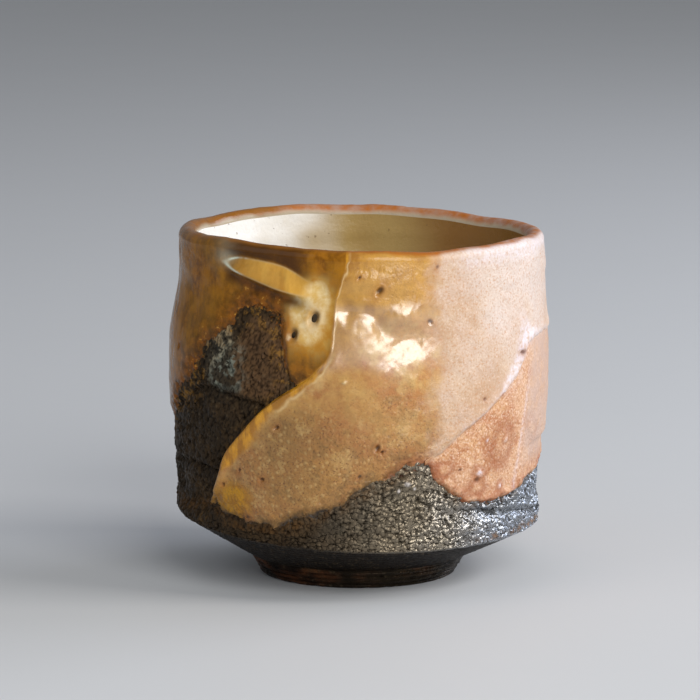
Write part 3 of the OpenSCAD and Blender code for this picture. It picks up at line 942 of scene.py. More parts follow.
def grid_quads(index: Array) -> Array:
    """Quads of a grid of point numbers, facing the side from which rows rise and columns run to the right."""
    return np.stack([index[:-1, :-1], index[:-1, 1:], index[1:, 1:], index[1:, :-1]], axis=-1).reshape(-1, 4)


def hoop_shell(rows: Array, masks: Fields) -> Shell:
    """Closes a grid both ways, as on a ring: the last column joins the first, and the last row the first.

    Args:
        rows: Points by row and column.
        masks: Numbers by row and column.

    Returns:
        The ring.
    """
    index = np.arange(rows.shape[0] * rows.shape[1]).reshape(rows.shape[:2])
    quads = grid_quads(np.pad(index, ((0, 1), (0, 1)), mode="wrap"))
    flat = {name: np.broadcast_to(mask, rows.shape[:2]).ravel() for name, mask in masks.items()}
    return Shell(rows.reshape(-1, 3), quads, np.empty((0, 3), int), flat)


def capped_shell(rows: Array, masks: Fields) -> Shell:
    """Closes a grid round the axis and at both ends, where the first and last rows shrink to a point.

    Args:
        rows: Points by row and column.
        masks: Numbers by row and column.

    Returns:
        The closed form.
    """
    count = rows.shape[0] * rows.shape[1]
    index = np.pad(np.arange(count).reshape(rows.shape[:2]), ((0, 0), (0, 1)), mode="wrap")
    start = np.stack([np.full(rows.shape[1], count), index[0, 1:], index[0, :-1]], axis=-1)
    end = np.stack([index[-1, :-1], index[-1, 1:], np.full(rows.shape[1], count + 1)], axis=-1)
    poles = np.stack([rows[0].mean(axis=0), rows[-1].mean(axis=0)])
    points = np.concatenate([rows.reshape(-1, 3), poles])
    flat = {}
    for name, mask in masks.items():
        full = np.broadcast_to(mask, rows.shape[:2])
        flat[name] = np.concatenate([full.ravel(), [full[0].mean(), full[-1].mean()]])
    return Shell(points, grid_quads(index), np.concatenate([start, end]), flat)


def sheet_shell(face: Array, bond: Array, masks: Fields) -> Shell:
    """Closes two facing grids into a thin sheet: face, bonded side and the narrow rim between them.

    Args:
        face: Points of the outer side by row and column.
        bond: Points of the side that lies on the clay.
        masks: Numbers by row and column, used on both sides.

    Returns:
        The sheet.
    """
    rows, columns = face.shape[:2]
    front = np.arange(rows * columns).reshape(rows, columns)
    back = front + rows * columns
    loop = np.concatenate([front, back[::-1], front[:1]])
    left = np.stack([back[:, 0], front[:, 0]], axis=-1)
    right = np.stack([front[:, -1], back[:, -1]], axis=-1)
    quads = np.concatenate([grid_quads(loop), grid_quads(left), grid_quads(right)])
    points = np.concatenate([face.reshape(-1, 3), bond.reshape(-1, 3)])
    flat = {name: np.tile(mask.ravel(), 2) for name, mask in masks.items()}
    return Shell(points, quads, np.empty((0, 3), int), flat)


def mesh_object(name: str, shell: Shell) -> bpy.types.Object:
    """Makes a smooth-shaded mesh object in metres, with each mask as an attribute of its points.

    Args:
        name: Name of the object and its mesh.
        shell: The closed form.

    Returns:
        The object, linked to the scene, at the origin.
    """
    mesh = bpy.data.meshes.new(name)
    corners = np.concatenate([shell.quads.ravel(), shell.triangles.ravel()]).astype(np.int32)
    sizes = np.concatenate([np.full(len(shell.quads), 4), np.full(len(shell.triangles), 3)])
    starts = np.concatenate([[0], np.cumsum(sizes)[:-1]]).astype(np.int32)
    mesh.vertices.add(len(shell.points))
    mesh.vertices.foreach_set("co", (shell.points * MM).astype(np.float32).ravel())
    mesh.loops.add(len(corners))
    mesh.loops.foreach_set("vertex_index", corners)
    mesh.polygons.add(len(sizes))
    mesh.polygons.foreach_set("loop_start", starts)
    mesh.polygons.foreach_set("use_smooth", np.ones(len(sizes), bool))
    mesh.update(calc_edges=True)
    mesh.set_sharp_from_angle(angle=CREASE)
    for mask_name, mask in shell.masks.items():
        layer = mesh.attributes.new(mask_name, "FLOAT", "POINT")
        layer.data.foreach_set("value", mask.astype(np.float32))
    made = bpy.data.objects.new(name, mesh)
    bpy.context.scene.collection.objects.link(made)
    return made


def tint(code: str) -> tuple[float, float, float, float]:
    """Turns a colour as it is seen, written as six hex digits, into the linear colour that a shader takes."""
    seen = [int(code[start : start + 2], 16) / 255.0 for start in (0, 2, 4)]
    red, green, blue = (s / 12.92 if s <= 0.04045 else ((s + 0.055) / 1.055) ** 2.4 for s in seen)
    return (red, green, blue, 1.0)


class NodeBench:
    """Adds nodes to one shader tree and wires them."""

    def __init__(self, tree: bpy.types.NodeTree) -> None:
        """Starts on a tree, with the object's own coordinates ready for the textures."""
        self.tree = tree
        self.place = self.add("ShaderNodeTexCoord").outputs["Object"]

    def feed(self, socket: Socket, value: Value) -> None:
        """Links a socket to an input, or sets the input to a plain value."""
        if isinstance(value, Socket):
            self.tree.links.new(value, socket)
        else:
            socket.default_value = value

    def add(
        self, kind: str, feeds: dict[str | int, Value] | None = None, **settings: object
    ) -> bpy.types.Node:
        """Adds a node.

        Args:
            kind: Blender's name of the node.
            feeds: Values or sockets for its inputs, by name or number.
            settings: Values for its properties.

        Returns:
            The node.
        """
        node = self.tree.nodes.new(kind)
        for name, setting in settings.items():
            setattr(node, name, setting)
        for key, value in (feeds or {}).items():
            self.feed(node.inputs[key], value)
        return node

    def blend(self, share: Value, first: Color, second: Color) -> Socket:
        """Blends two colours by a share."""
        node = self.add("ShaderNodeMix", data_type="RGBA", clamp_factor=True)
        share_input, first_input, second_input, color_output = 0, 6, 7, 2
        self.feed(node.inputs[share_input], share)
        for number, color in ((first_input, first), (second_input, second)):
            self.feed(node.inputs[number], tint(color) if isinstance(color, str) else color)
        return node.outputs[color_output]

    def coats(self, color: Color, *coats: tuple[Value, Color]) -> Socket:
        """Lays coats over a colour one after another, each a share and its colour."""
        for share, over in coats:
            color = self.blend(share, color, over)
        return color

    def sum(self, way: str, first: Value, second: Value = 0.0) -> Socket:
        """Works out a number from two in a given way, such as MULTIPLY."""
        return self.add("ShaderNodeMath", {0: first, 1: second}, operation=way).outputs[0]

    def times(self, first: Value, second: Value) -> Socket:
        """Multiplies two numbers."""
        return self.sum("MULTIPLY", first, second)

    def plus(self, first: Value, second: Value) -> Socket:
        """Adds two numbers."""
        return self.sum("ADD", first, second)

    def larger(self, first: Value, second: Value) -> Socket:
        """The larger of two numbers."""
        return self.sum("MAXIMUM", first, second)

    def step(self, value: Value, low: Value, high: Value, bottom: float = 0.0, top: float = 1.0) -> Socket:
        """Soft step from bottom to top while the value goes from low to high."""
        feeds = {"Value": value, "From Min": low, "From Max": high, "To Min": bottom, "To Max": top}
        return self.add("ShaderNodeMapRange", feeds, interpolation_type="SMOOTHSTEP").outputs[0]

    def cloud(self, size: float, detail: float = 3.0, rough: float = 0.55, stretch: float = 1.0) -> Socket:
        """Noise with patches of a size in mm, drawn out upwards by the stretch."""
        place = self.place
        if stretch != 1.0:
            squeezed = {"Vector": place, "Scale": (1.0, 1.0, 1.0 / stretch)}
            place = self.add("ShaderNodeMapping", squeezed).outputs[0]
        feeds = {"Vector": place, "Scale": 1.0 / (size * MM), "Detail": detail, "Roughness": rough}
        return self.add("ShaderNodeTexNoise", feeds).outputs[0]

    def mask(self, name: str) -> Socket:
        """Reads one of the mesh's own masks."""
        return self.add("ShaderNodeAttribute", attribute_name=name).outputs["Fac"]

    def placed(self, group: bpy.types.NodeTree, **feeds: Value) -> bpy.types.Node:
        """Places a node group, its inputs named with _ for a space."""
        node = self.add("ShaderNodeGroup", node_tree=group)
        for name, value in feeds.items():
            self.feed(node.inputs[name.replace("_", " ")], value)
        return node


class Effect(Enum):
    """The surface effects that several finishes share."""

    GRIT = "grit"
    MOTTLE = "mottle"
    SPECKLE = "speckle"
    GLAZE = "ash_glaze"


class EffectShelf:
    """Builds each shared effect once, as a node group, and hands it out."""

    def __init__(self) -> None:
        """Builds all the groups."""
        grit = self.grit()
        self.groups = {
            Effect.GRIT: grit,
            Effect.MOTTLE: self.mottle(),
            Effect.SPECKLE: self.speckle(),
            Effect.GLAZE: self.glaze(grit),
        }

    def __getitem__(self, effect: Effect) -> bpy.types.NodeTree:
        """The group of an effect."""
        return self.groups[effect]

    def start(
        self, effect: Effect, takes: dict[str, float], gives: dict[str, str]
    ) -> tuple[NodeBench, dict[str, Socket], bpy.types.Node]:
        """Starts a group with its sockets.

        Args:
            effect: Names the group.
            takes: Its number inputs and their usual values.
            gives: Its outputs and their kinds.

        Returns:
            A bench for the group, its inputs by name, and its output node.
        """
        group = bpy.data.node_groups.new(effect.value, "ShaderNodeTree")
        for name, usual in takes.items():
            socket = group.interface.new_socket(name, in_out="INPUT", socket_type="NodeSocketFloat")
            socket.default_value = usual
        for name, kind in gives.items():
            group.interface.new_socket(name, in_out="OUTPUT", socket_type=kind)
        bench = NodeBench(group)
        entry = bench.add("NodeGroupInput")
        return bench, {name: entry.outputs[name] for name in takes}, bench.add("NodeGroupOutput")

    def wire(self, bench: NodeBench, end: bpy.types.Node, sockets: dict[str, Socket]) -> bpy.types.NodeTree:
        """Wires the outputs of a group and returns it."""
        for name, socket in sockets.items():
            bench.tree.links.new(socket, end.inputs[name])
        return bench.tree

    def grit(self) -> bpy.types.NodeTree:
        """Coarse sand in clay: a dome per grain and a mask of the pale ones, at places that noise moves."""
        gives = {"Dome": "NodeSocketFloat", "Pale": "NodeSocketFloat"}
        bench, takes, end = self.start(Effect.GRIT, {"Grain": 0.6, "Pale share": 0.2}, gives)
        wobbles_per_metre, wobble_reach = 900.0, 0.6 * MM
        wobble = bench.add("ShaderNodeTexNoise", {"Vector": bench.place, "Scale": wobbles_per_metre})
        reach = {0: wobble.outputs[1], 1: (wobble_reach,) * 3}
        moved = bench.add("ShaderNodeVectorMath", reach, operation="MULTIPLY")
        place = bench.add("ShaderNodeVectorMath", {0: bench.place, 1: moved.outputs[0]}, operation="ADD")
        scale = bench.sum("DIVIDE", 1.0 / MM, takes["Grain"])
        cells = bench.add("ShaderNodeTexVoronoi", {"Vector": place.outputs[0], "Scale": scale}).outputs
        shade = bench.add("ShaderNodeSeparateColor", {0: cells["Color"]}).outputs[0]
        dome = bench.step(cells["Distance"], 0.75, 0.05)
        edge = bench.sum("SUBTRACT", 1.0, takes["Pale share"])
        pale = bench.times(bench.sum("GREATER_THAN", shade, edge), dome)
        return self.wire(bench, end, {"Dome": dome, "Pale": pale})

    def mottle(self) -> bpy.types.NodeTree:
        """Cloudy patches: noise of a patch size, steepened by the contrast."""
        takes = {"Patch": 5.0, "Contrast": 2.0}
        bench, takes, end = self.start(Effect.MOTTLE, takes, {"Share": "NodeSocketFloat"})
        scale = bench.sum("DIVIDE", 1.0 / MM, takes["Patch"])
        feeds = {"Vector": bench.place, "Scale": scale, "Detail": 5.0, "Roughness": 0.6}
        cloud = bench.add("ShaderNodeTexNoise", feeds).outputs[0]
        centred = bench.times(bench.sum("SUBTRACT", cloud, 0.5), takes["Contrast"])
        node = bench.add("ShaderNodeMath", {0: centred, 1: 0.5}, operation="ADD", use_clamp=True)
        return self.wire(bench, end, {"Share": node.outputs[0]})

    def speckle(self) -> bpy.types.NodeTree:
        """Sparse round specks: the cores of a share of random cells."""
        takes = {"Speck": 1.0, "Share": 0.1}
        bench, takes, end = self.start(Effect.SPECKLE, takes, {"Mask": "NodeSocketFloat"})
        scale = bench.sum("DIVIDE", 1.0 / MM, takes["Speck"])
        cells = bench.add("ShaderNodeTexVoronoi", {"Vector": bench.place, "Scale": scale})
        chance = bench.add("ShaderNodeSeparateColor", {0: cells.outputs["Color"]}).outputs[1]
        picked = bench.sum("LESS_THAN", chance, takes["Share"])
        core = bench.step(cells.outputs["Distance"], 0.42, 0.15)
        return self.wire(bench, end, {"Mask": bench.times(picked, core)})

    def glaze(self, grit: bpy.types.NodeTree) -> bpy.types.NodeTree:
        """The ash glaze of the outside, which follows the masks of the panels and lets the grit through."""
        gives = {
            "Color": "NodeSocketColor",
            "Roughness": "NodeSocketFloat",
            "Coat": "NodeSocketFloat",
            "Height": "NodeSocketFloat",
        }
        bench, takes, end = self.start(Effect.GLAZE, {"Grain": 1.0, "Streak": 1.0}, gives)
        recipe = GlazeRecipe(bench, takes, grit)
        made = (recipe.color(), recipe.gloss(), recipe.coat(), recipe.relief())
        return self.wire(bench, end, dict(zip(gives, made)))


class GlazeRecipe:
    """Colours, gloss and relief of the ash glaze, worked out on the bench of its group."""

    def __init__(self, bench: NodeBench, takes: dict[str, Socket], grit: bpy.types.NodeTree) -> None:
        """Makes the clouds that break the colours up.

        Args:
            bench: The bench of the group.
            takes: The group's inputs by name.
            grit: The sand that shows through where the glaze is grainy.
        """
        self.bench, self.takes = bench, takes
        large, self.middle = bench.cloud(8.0, 4.0), bench.cloud(2.2, 5.0, 0.62)
        self.small, self.peel = bench.cloud(0.75, 3.0, 0.6), bench.cloud(0.36, 2.0, 0.6)
        self.streaks = bench.cloud(1.5, 3.0, 0.6, stretch=5.0)
        clouds = (large, self.middle, self.small)
        self.spread, self.broken, self.crisp = (bench.step(cloud, 0.36, 0.64) for cloud in clouds)
        self.pores = bench.times(bench.step(self.peel, 0.5, 0.68), takes["Grain"])
        self.run = bench.times(bench.step(self.streaks, 0.35, 0.65), takes["Streak"])
        self.sand = bench.placed(grit, Grain=0.7, Pale_share=0.22).outputs
        self.satin, self.grainy = bench.mask("satin"), bench.mask("grainy")
        self.on_shoulder, self.amber = bench.mask("shoulder"), bench.mask("amber")

    def front(self) -> Socket:
        """Buff clouds that warm to the right, milky, olive and amber zones, and sand in the grainy part."""
        bench, broken, spread, grainy = self.bench, self.broken, self.spread, self.grainy
        milky = bench.step(bench.cloud(4.2, 3.0, 0.6), 0.5, 0.68)
        amber = bench.blend(bench.times(spread, 0.5), bench.blend(broken, "c08c3c", "9c6722"), "cda152")
        worn = bench.times(grainy, bench.step(self.middle, 0.5, 0.66))
        sunlit = bench.times(grainy, bench.step(self.middle, 0.46, 0.34))
        specks = bench.times(bench.step(bench.cloud(0.3, 1.0), 0.58, 0.72), self.takes["Grain"])
        return bench.coats(
            bench.blend(spread, "b98b4b", "a56c3a"),
            (bench.mask("glow"), bench.blend(spread, "c48f4e", "b77642")),
            (bench.times(broken, 0.45), "cba35c"),
            (bench.times(self.crisp, 0.25), "8c5c2c"),
            (bench.times(milky, 0.5), "d9b878"),
            (bench.times(bench.mask("olive"), 0.75), bench.blend(broken, "7c6234", "a5834a")),
            (bench.times(self.amber, 0.9), amber),
            (bench.times(grainy, 0.5), "8a5c2c"),
            (bench.times(worn, 0.55), "6f5128"),
            (bench.times(sunlit, 0.5), "c4a062"),
            (bench.times(specks, bench.step(grainy, 0.0, 1.0, 0.2, 0.75)), "5f3a1a"),
            (bench.times(self.sand["Pale"], bench.times(grainy, 0.4)), "d3b074"),
        )

    def peach(self) -> Socket:
        """The satin glaze: peach clouds under a painted pale sheen towards the upper right, with dark pores
        and pale peel specks that are partly painted glints.
        """
        bench = self.bench
        hazy = bench.step(bench.cloud(6.5, 3.0), 0.4, 0.62)
        return bench.coats(
            bench.blend(self.spread, "ccb096", "bd9a7b"),
            (bench.times(hazy, 0.5), "ccb3a3"),
            (bench.times(self.grainy, 0.3), "b5855a"),
            (bench.times(bench.mask("upper_right_sheen"), 0.8), "d0c2ba"),
            (bench.times(self.pores, 0.65), "b9875f"),
            # Pale peel specks, partly painted glints
            (bench.step(self.peel, 0.44, 0.3, 0.0, 0.35), "ead6c4"),
        )

    def cut(self) -> Socket:
        """The glaze in the lower right cuts: orange clouds, pores and peel, rings round bumps, and chalk."""
        bench = self.bench
        chalky = bench.times(bench.mask("chalk"), bench.step(self.middle, 0.3, 0.6, 0.3, 0.8))
        return bench.coats(
            bench.blend(self.broken, "c9986a", "ab6c3f"),
            (bench.times(self.spread, 0.6), "cfa583"),
            (bench.times(self.crisp, 0.35), "dbb494"),
            (bench.times(self.pores, 0.5), "96592f"),
            (bench.step(self.peel, 0.48, 0.34, 0.0, 0.55), "e6cbb6"),
            (bench.times(bench.mask("knobs"), 0.6), "94532a"),
            (chalky, "bfa393"),
        )

    def shoulder(self) -> Socket:
        """Brown runs, a sunlit patch, the tongue's painted gold reflection with painted shade round it, and a
        scorched edge with flecks.
        """
        bench, broken = self.bench, self.broken
        sun, scorch = bench.mask("sun"), bench.mask("scorch")
        sunny = bench.blend(broken, "d3a858", "b98433")
        sunny = bench.blend(bench.step(sun, 0.7, 1.0), sunny, bench.blend(broken, "f2dcaa", "dcb66a"))
        # Painted reflection on the fold's tongue
        tongue_reflection_color = bench.blend(bench.times(self.run, 0.5), "e3ae4c", "c88e34")
        flecks = bench.times(scorch, bench.step(self.small, 0.58, 0.7))
        return bench.coats(
            bench.blend(broken, "6e4207", "9a6212"),
            (bench.times(self.run, 0.4), "ac751a"),
            (bench.times(self.spread, 0.3), "84672a"),
            (bench.times(sun, 0.92), sunny),
            # Painted shade in the fold under the lip and below the crest
            (bench.times(bench.mask("fold_shade"), 0.92), "4d2c06"),
            # Painted reflection on the fold's tongue
            (bench.times(bench.mask("tongue_reflection"), 0.95), tongue_reflection_color),
            (bench.times(scorch, 0.9), bench.blend(broken, "3f260c", "81490f")),
            (bench.times(flecks, bench.step(self.middle, 0.46, 0.6, 0.1, 0.9)), "cf9a42"),
            (bench.times(bench.mask("bloom"), 0.5), "9ea294"),
            # Painted highlight of the loop at the tongue's left end
            (bench.mask("loop"), "d6dfcd"),
        )

    def color(self) -> Socket:
        """The panels one over another, then the edges where they meet or thin out, and the marks."""
        bench, satin, thin = self.bench, self.satin, self.bench.mask("thin")
        honey = bench.blend(bench.step(self.streaks, 0.4, 0.6), "d0921c", "9c660c")
        dull = bench.times(bench.step(thin, 0.0, 0.7), bench.step(self.small, 0.3, 0.65, 0.45, 1.0))
        rusty = bench.times(bench.mask("rust"), bench.step(self.middle, 0.3, 0.65, 0.1, 0.85))
        frost_and_sheen_share = bench.times(bench.mask("frost_and_sheen"), bench.step(self.small, 0.34, 0.6, 0.15, 0.9))
        return bench.coats(
            self.front(),
            (satin, self.peach()),
            (bench.mask("below_rib"), self.cut()),
            (self.on_shoulder, self.shoulder()),
            (bench.times(bench.mask("tip"), 0.88), bench.blend(self.broken, "946206", "bd860c")),
            (bench.times(bench.mask("honey"), 0.92), honey),
            # Painted highlight lines in cream: along the roll, and round the rim of the fold's tongue
            (bench.times(bench.mask("cream"), 0.6), "dfc08a"),
            (dull, "654718"),
            (bench.step(thin, 0.6, 1.0, 0.0, 0.95), "1c130a"),
            (rusty, "945029"),
            # Pale frost mixed with painted highlights and painted sheen
            (frost_and_sheen_share, bench.blend(satin, "f4e3b4", "e2dde8")),
            (bench.times(bench.mask("halo"), 0.45), "9a5a22"),
            # Painted shade: the dark core of each pit, on the side away from the light
            (bench.times(bench.mask("pit_shade"), 0.8), bench.blend(satin, "2a1a10", "5a2e14")),
        )

    def gloss(self) -> Socket:
        """Roughness: matt on the satin, glassier in the amber and on the shoulder, dry where rust shows."""
        bench = self.bench
        matt = bench.step(self.satin, 0.0, 1.0, 0.26, 0.42)
        glassy = bench.times(bench.larger(self.amber, self.on_shoulder), 0.12)
        uneven = bench.step(self.middle, 0.3, 0.7, -0.05, 0.12)
        dry = bench.times(bench.mask("rust"), 0.22)
        return bench.plus(bench.sum("SUBTRACT", matt, glassy), bench.plus(uneven, dry))

    def coat(self) -> Socket:
        """Weight of the clear coat: strong on the wet part of the front, faint on satin, shoulder and tip."""
        bench = self.bench
        quiet = bench.larger(self.satin, bench.larger(self.on_shoulder, bench.mask("tip")))
        return bench.plus(bench.times(bench.mask("wet"), 0.9), bench.step(quiet, 0.0, 1.0, 0.12, 0.04))

    def relief(self) -> Socket:
        """Height of the fine relief: peel that grows to the right, lumps, and sand in the grainy part."""
        bench = self.bench
        peel = bench.times(self.peel, bench.step(bench.mask("ripple"), 0.0, 1.0, 0.4, 1.8))
        lumps = bench.plus(bench.times(self.middle, 0.5), bench.times(self.small, 0.6))
        lumps = bench.plus(lumps, bench.times(self.sand["Dome"], bench.times(self.grainy, 1.3)))
        return bench.plus(bench.times(peel, self.takes["Grain"]), lumps)


@dataclass(frozen=True)
class Finish:
    """A finish of the cup: what every material here needs."""

    name: str
    bump_depth: float = 0.06
    coat_roughness: float = 0.12
    coat_ior: float = 1.5
    specular: float = 0.5

    def material(self, shelf: EffectShelf) -> bpy.types.Material:
        """Builds the material.

        Args:
            shelf: The shared effects.

        Returns:
            A new material whose colour, gloss and relief come from the finish's own nodes.
        """
        made = bpy.data.materials.new(self.name)
        made.use_nodes = True
        made.node_tree.nodes.clear()
        bench = NodeBench(made.node_tree)
        shader = bench.add("ShaderNodeBsdfPrincipled")
        shader.inputs["Coat Roughness"].default_value = self.coat_roughness
        shader.inputs["Coat IOR"].default_value = self.coat_ior
        shader.inputs["Specular IOR Level"].default_value = self.specular
        ports = self.nodes(bench, shelf)
        if "Height" in ports:
            relief = {"Height": ports.pop("Height"), "Distance": self.bump_depth * MM, "Strength": 1.0}
            ports["Normal"] = bench.add("ShaderNodeBump", relief).outputs[0]
        for name, socket in ports.items():
            bench.tree.links.new(socket, shader.inputs[name])
        bench.add("ShaderNodeOutputMaterial", {"Surface": shader.outputs[0]})
        return made

    def nodes(self, bench: NodeBench, shelf: EffectShelf) -> dict[str, Socket]:
        """Nodes of the finish: the shader's inputs that they feed, with Height for the relief."""
        raise NotImplementedError


@dataclass(frozen=True)
class BareClay(Finish):
    """Fired stoneware without glaze: dark, gritty, and glassy where ash melted on it."""

    dark: str = "120d09"
    warm: str = "543d22"
    brown: str = "684a30"
    pale: str = "6a5b45"
    ash: str = "8f988c"
    gold: str = "b5812f"
    rust: str = "7a4526"
    silver: str = "92979e"
    bronze: str = "9c907c"
    stone: str = "c9c2bd"
    # Colour of the painted shade in the gaps between grains
    gap_shade_color: str = "0a0706"
    grain: float = 0.62
    bump_depth: float = 0.42
    specular: float = 0.05

    def nodes(self, bench: NodeBench, shelf: EffectShelf) -> dict[str, Socket]:
        """Dark clay mottled warm, with ash, gold, rust and pale stones by the masks, painted shade in the gaps
        between grains, and a fused skin on grains.
        """
        grit = bench.placed(shelf[Effect.GRIT], Grain=self.grain, Pale_share=0.16).outputs
        clouds = bench.placed(shelf[Effect.MOTTLE], Patch=4.0, Contrast=2.4).outputs[0]
        patches = bench.placed(shelf[Effect.MOTTLE], Patch=1.6, Contrast=3.0).outputs[0]
        flecks = bench.placed(shelf[Effect.SPECKLE], Speck=0.7, Share=0.35).outputs[0]
        lumps, grains = bench.cloud(0.55, 2.0, 0.5), bench.cloud(0.26, 1.0)
        gap_shade, glassy, warm = bench.mask("gap_shade"), bench.mask("glassy"), bench.mask("warm")
        rust, stone = bench.mask("rust"), bench.mask("stone")
        ashy = bench.times(bench.mask("ash"), bench.step(patches, 0.45, 0.8, 0.1, 0.9))
        clumps = bench.times(bench.step(patches, 0.45, 0.8), bench.larger(flecks, 0.45))
        rusty = bench.times(rust, bench.step(patches, 0.3, 0.7))
        fused = bench.times(glassy, bench.step(gap_shade, 0.2, 1.0, 1.0, 0.2))
        fused = bench.times(fused, bench.step(rusty, 0.0, 0.8, 1.0, 0.15))
        fused = bench.times(fused, bench.step(stone, 0.2, 0.8, 1.0, 0.1))
        color = bench.coats(
            self.dark,
            (bench.times(bench.step(clouds, 0.0, 1.0, 0.3, 1.0), warm), self.warm),
            (bench.step(warm, 0.7, 1.0, 0.0, 0.6), self.brown),
            (bench.times(grit["Pale"], 0.3), self.pale),
            (ashy, self.ash),
            (bench.times(bench.mask("gold"), clumps), self.gold),
            (bench.times(rust, patches), self.rust),
            # Pale stones: partly the stones' own colour, partly a painted highlight
            (bench.step(stone, 0.2, 0.9, 0.0, 0.75), self.stone),
            # Painted shade in the gaps between grains and in the deep hollows
            (bench.times(gap_shade, 0.75), self.gap_shade_color),
            (fused, bench.blend(bench.mask("cool"), self.bronze, self.silver)),
        )
        gloss = bench.step(glassy, 0.0, 1.0, 0.36, 0.16)
        height = bench.plus(bench.times(lumps, 0.22), bench.times(grains, 0.16))
        height = bench.plus(height, bench.times(grit["Dome"], 0.1))
        return {"Base Color": color, "Roughness": gloss, "Metallic": fused, "Height": height}


@dataclass(frozen=True)
class AshGlaze(Finish):
    """Wood-ash glaze of the outside."""

    grain: float = 1.0
    streak: float = 1.0

    def nodes(self, bench: NodeBench, shelf: EffectShelf) -> dict[str, Socket]:
        """The shared glaze effect with this panel's grain and streaks."""
        ports = bench.placed(shelf[Effect.GLAZE], Grain=self.grain, Streak=self.streak).outputs
        return {
            "Base Color": ports["Color"],
            "Roughness": ports["Roughness"],
            "Coat Weight": ports["Coat"],
            "Height": ports["Height"],
        }


@dataclass(frozen=True)
class LipGlaze(AshGlaze):
    """The outside glaze run thin over the lip, burnt orange along the crown by the iron in the clay."""

    grain: float = 0.6
    streak: float = 0.5
    orange: str = "b0641c"
    dark: str = "935414"
    amber: str = "855513"
    pale: str = "b3a58e"
    specular: float = 0.25

    def nodes(self, bench: NodeBench, shelf: EffectShelf) -> dict[str, Socket]:
        """The outside glaze, an orange crown in patches, and the liner's pale colour at the inner edge."""
        ports = super().nodes(bench, shelf)
        clouds = bench.placed(shelf[Effect.MOTTLE], Patch=3.0, Contrast=2.4).outputs[0]
        on_shoulder = bench.times(bench.mask("shoulder"), 0.8)
        orange = bench.coats(self.orange, (clouds, self.dark), (on_shoulder, self.amber))
        crown = bench.times(bench.mask("iron"), bench.step(clouds, 0.0, 1.0, 1.0, 0.65))
        ports["Base Color"] = bench.coats(
            ports["Base Color"], (crown, orange), (bench.mask("inner"), self.pale)
        )
        return ports


@dataclass(frozen=True)
class LinerGlaze(Finish):
    """Pale ash glaze inside the cup, olive where it pooled."""

    # Near white: the glaze's pale grey, partly lifted to painted light where the key light falls
    pale: str = "f7f7f7"
    warm: str = "e4ddcf"
    cream: str = "d9cfbb"
    # Buff towards the right: partly the glaze's own tone, partly painted shade
    buff_and_shade: str = "a68b56"
    # Brown at the far right: partly the glaze's own tone, partly painted shade
    brown: str = "7a4c08"
    pool: str = "7c7a52"
    speck: str = "5e4426"
    bump_depth: float = 0.05
    specular: float = 0.25

    def nodes(self, bench: NodeBench, shelf: EffectShelf) -> dict[str, Socket]:
        """Pale grey mottled warm, buff and brown towards the right by the mask, olive in the pool, iron
        specks; the buff and brown are partly painted shade.
        """
        clouds = bench.placed(shelf[Effect.MOTTLE], Patch=6.0, Contrast=2.0).outputs[0]
        fine = bench.placed(shelf[Effect.MOTTLE], Patch=0.9, Contrast=2.0).outputs[0]
        specks = bench.step(bench.cloud(1.0, 2.0), 0.68, 0.76)
        buff_and_shade = bench.mask("buff_and_shade")
        color = bench.coats(
            self.pale,
            (bench.times(clouds, 0.4), self.warm),
            (bench.times(fine, 0.25), self.cream),
            (bench.step(buff_and_shade, 0.0, 0.55), self.buff_and_shade),
            (bench.step(buff_and_shade, 0.45, 1.0, 0.0, 0.85), self.brown),
            (bench.mask("pool"), self.pool),
            (bench.times(specks, 0.6), self.speck),
        )
        return {"Base Color": color, "Roughness": bench.step(clouds, 0.0, 1.0, 0.24, 0.4), "Height": fine}


@dataclass(frozen=True)
class FloorFinish(Finish):
    """Plain pale studio floor with a faint grain."""

    pale: str = "d4d6d9"
    shade: str = "ccced2"

    def nodes(self, bench: NodeBench, shelf: EffectShelf) -> dict[str, Socket]:
        """Pale grey with faint clouds."""
        clouds = bench.placed(shelf[Effect.MOTTLE], Patch=60.0, Contrast=1.2).outputs[0]
        color = bench.blend(bench.times(clouds, 0.3), self.pale, self.shade)
        return {"Base Color": color, "Roughness": bench.step(clouds, 0.0, 1.0, 0.55, 0.65)}


@dataclass
class Piece:
    """One piece of the cup: a closed shell that stands for one node of the frame."""

    form: CupForm
    name: str
    node: str
    slot: str
    finish: Finish

    def shell(self) -> Shell:
        """Works out the piece's closed shell."""
        raise NotImplementedError

    def make(self, shelf: EffectShelf) -> bpy.types.Object:
        """Builds the piece, dresses it, and sets it on the body in place of its node.

        Args:
            shelf: The shared effects.

        Returns:
            The finished object.
        """
        made = mesh_object(self.name, self.shell())
        made.data.materials.append(self.finish.material(shelf))
        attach(made, BODY)
        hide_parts(self.node)
        triangles = sum(len(polygon.vertices) - 2 for polygon in made.data.polygons)
        LOG.info("%s stands for %s: %d triangles", self.name, self.node, triangles)
        return made


def clay_columns() -> Array:
    """Angles of the columns of the wall and the slab, closer together where bare clay shows most."""
    ends_and_steps = ((-98.0, 1.3), (-25.0, 0.5), (88.0, 0.29), (LAST_ANGLE, 0.8))
    spans, start = [], FIRST_ANGLE
    for end, step in ends_and_steps:
        spans.append(np.linspace(start, end, round((end - start) / step), endpoint=False))
        start = end
    return np.concatenate(spans)


def clay_gloss(angle: Array) -> Array:
    """How much of the clay ash has fused: growing from the front to the right, and gone at the back."""
    return ease((angle + 25.0) / 75.0) * ease((140.0 - angle) / 30.0)


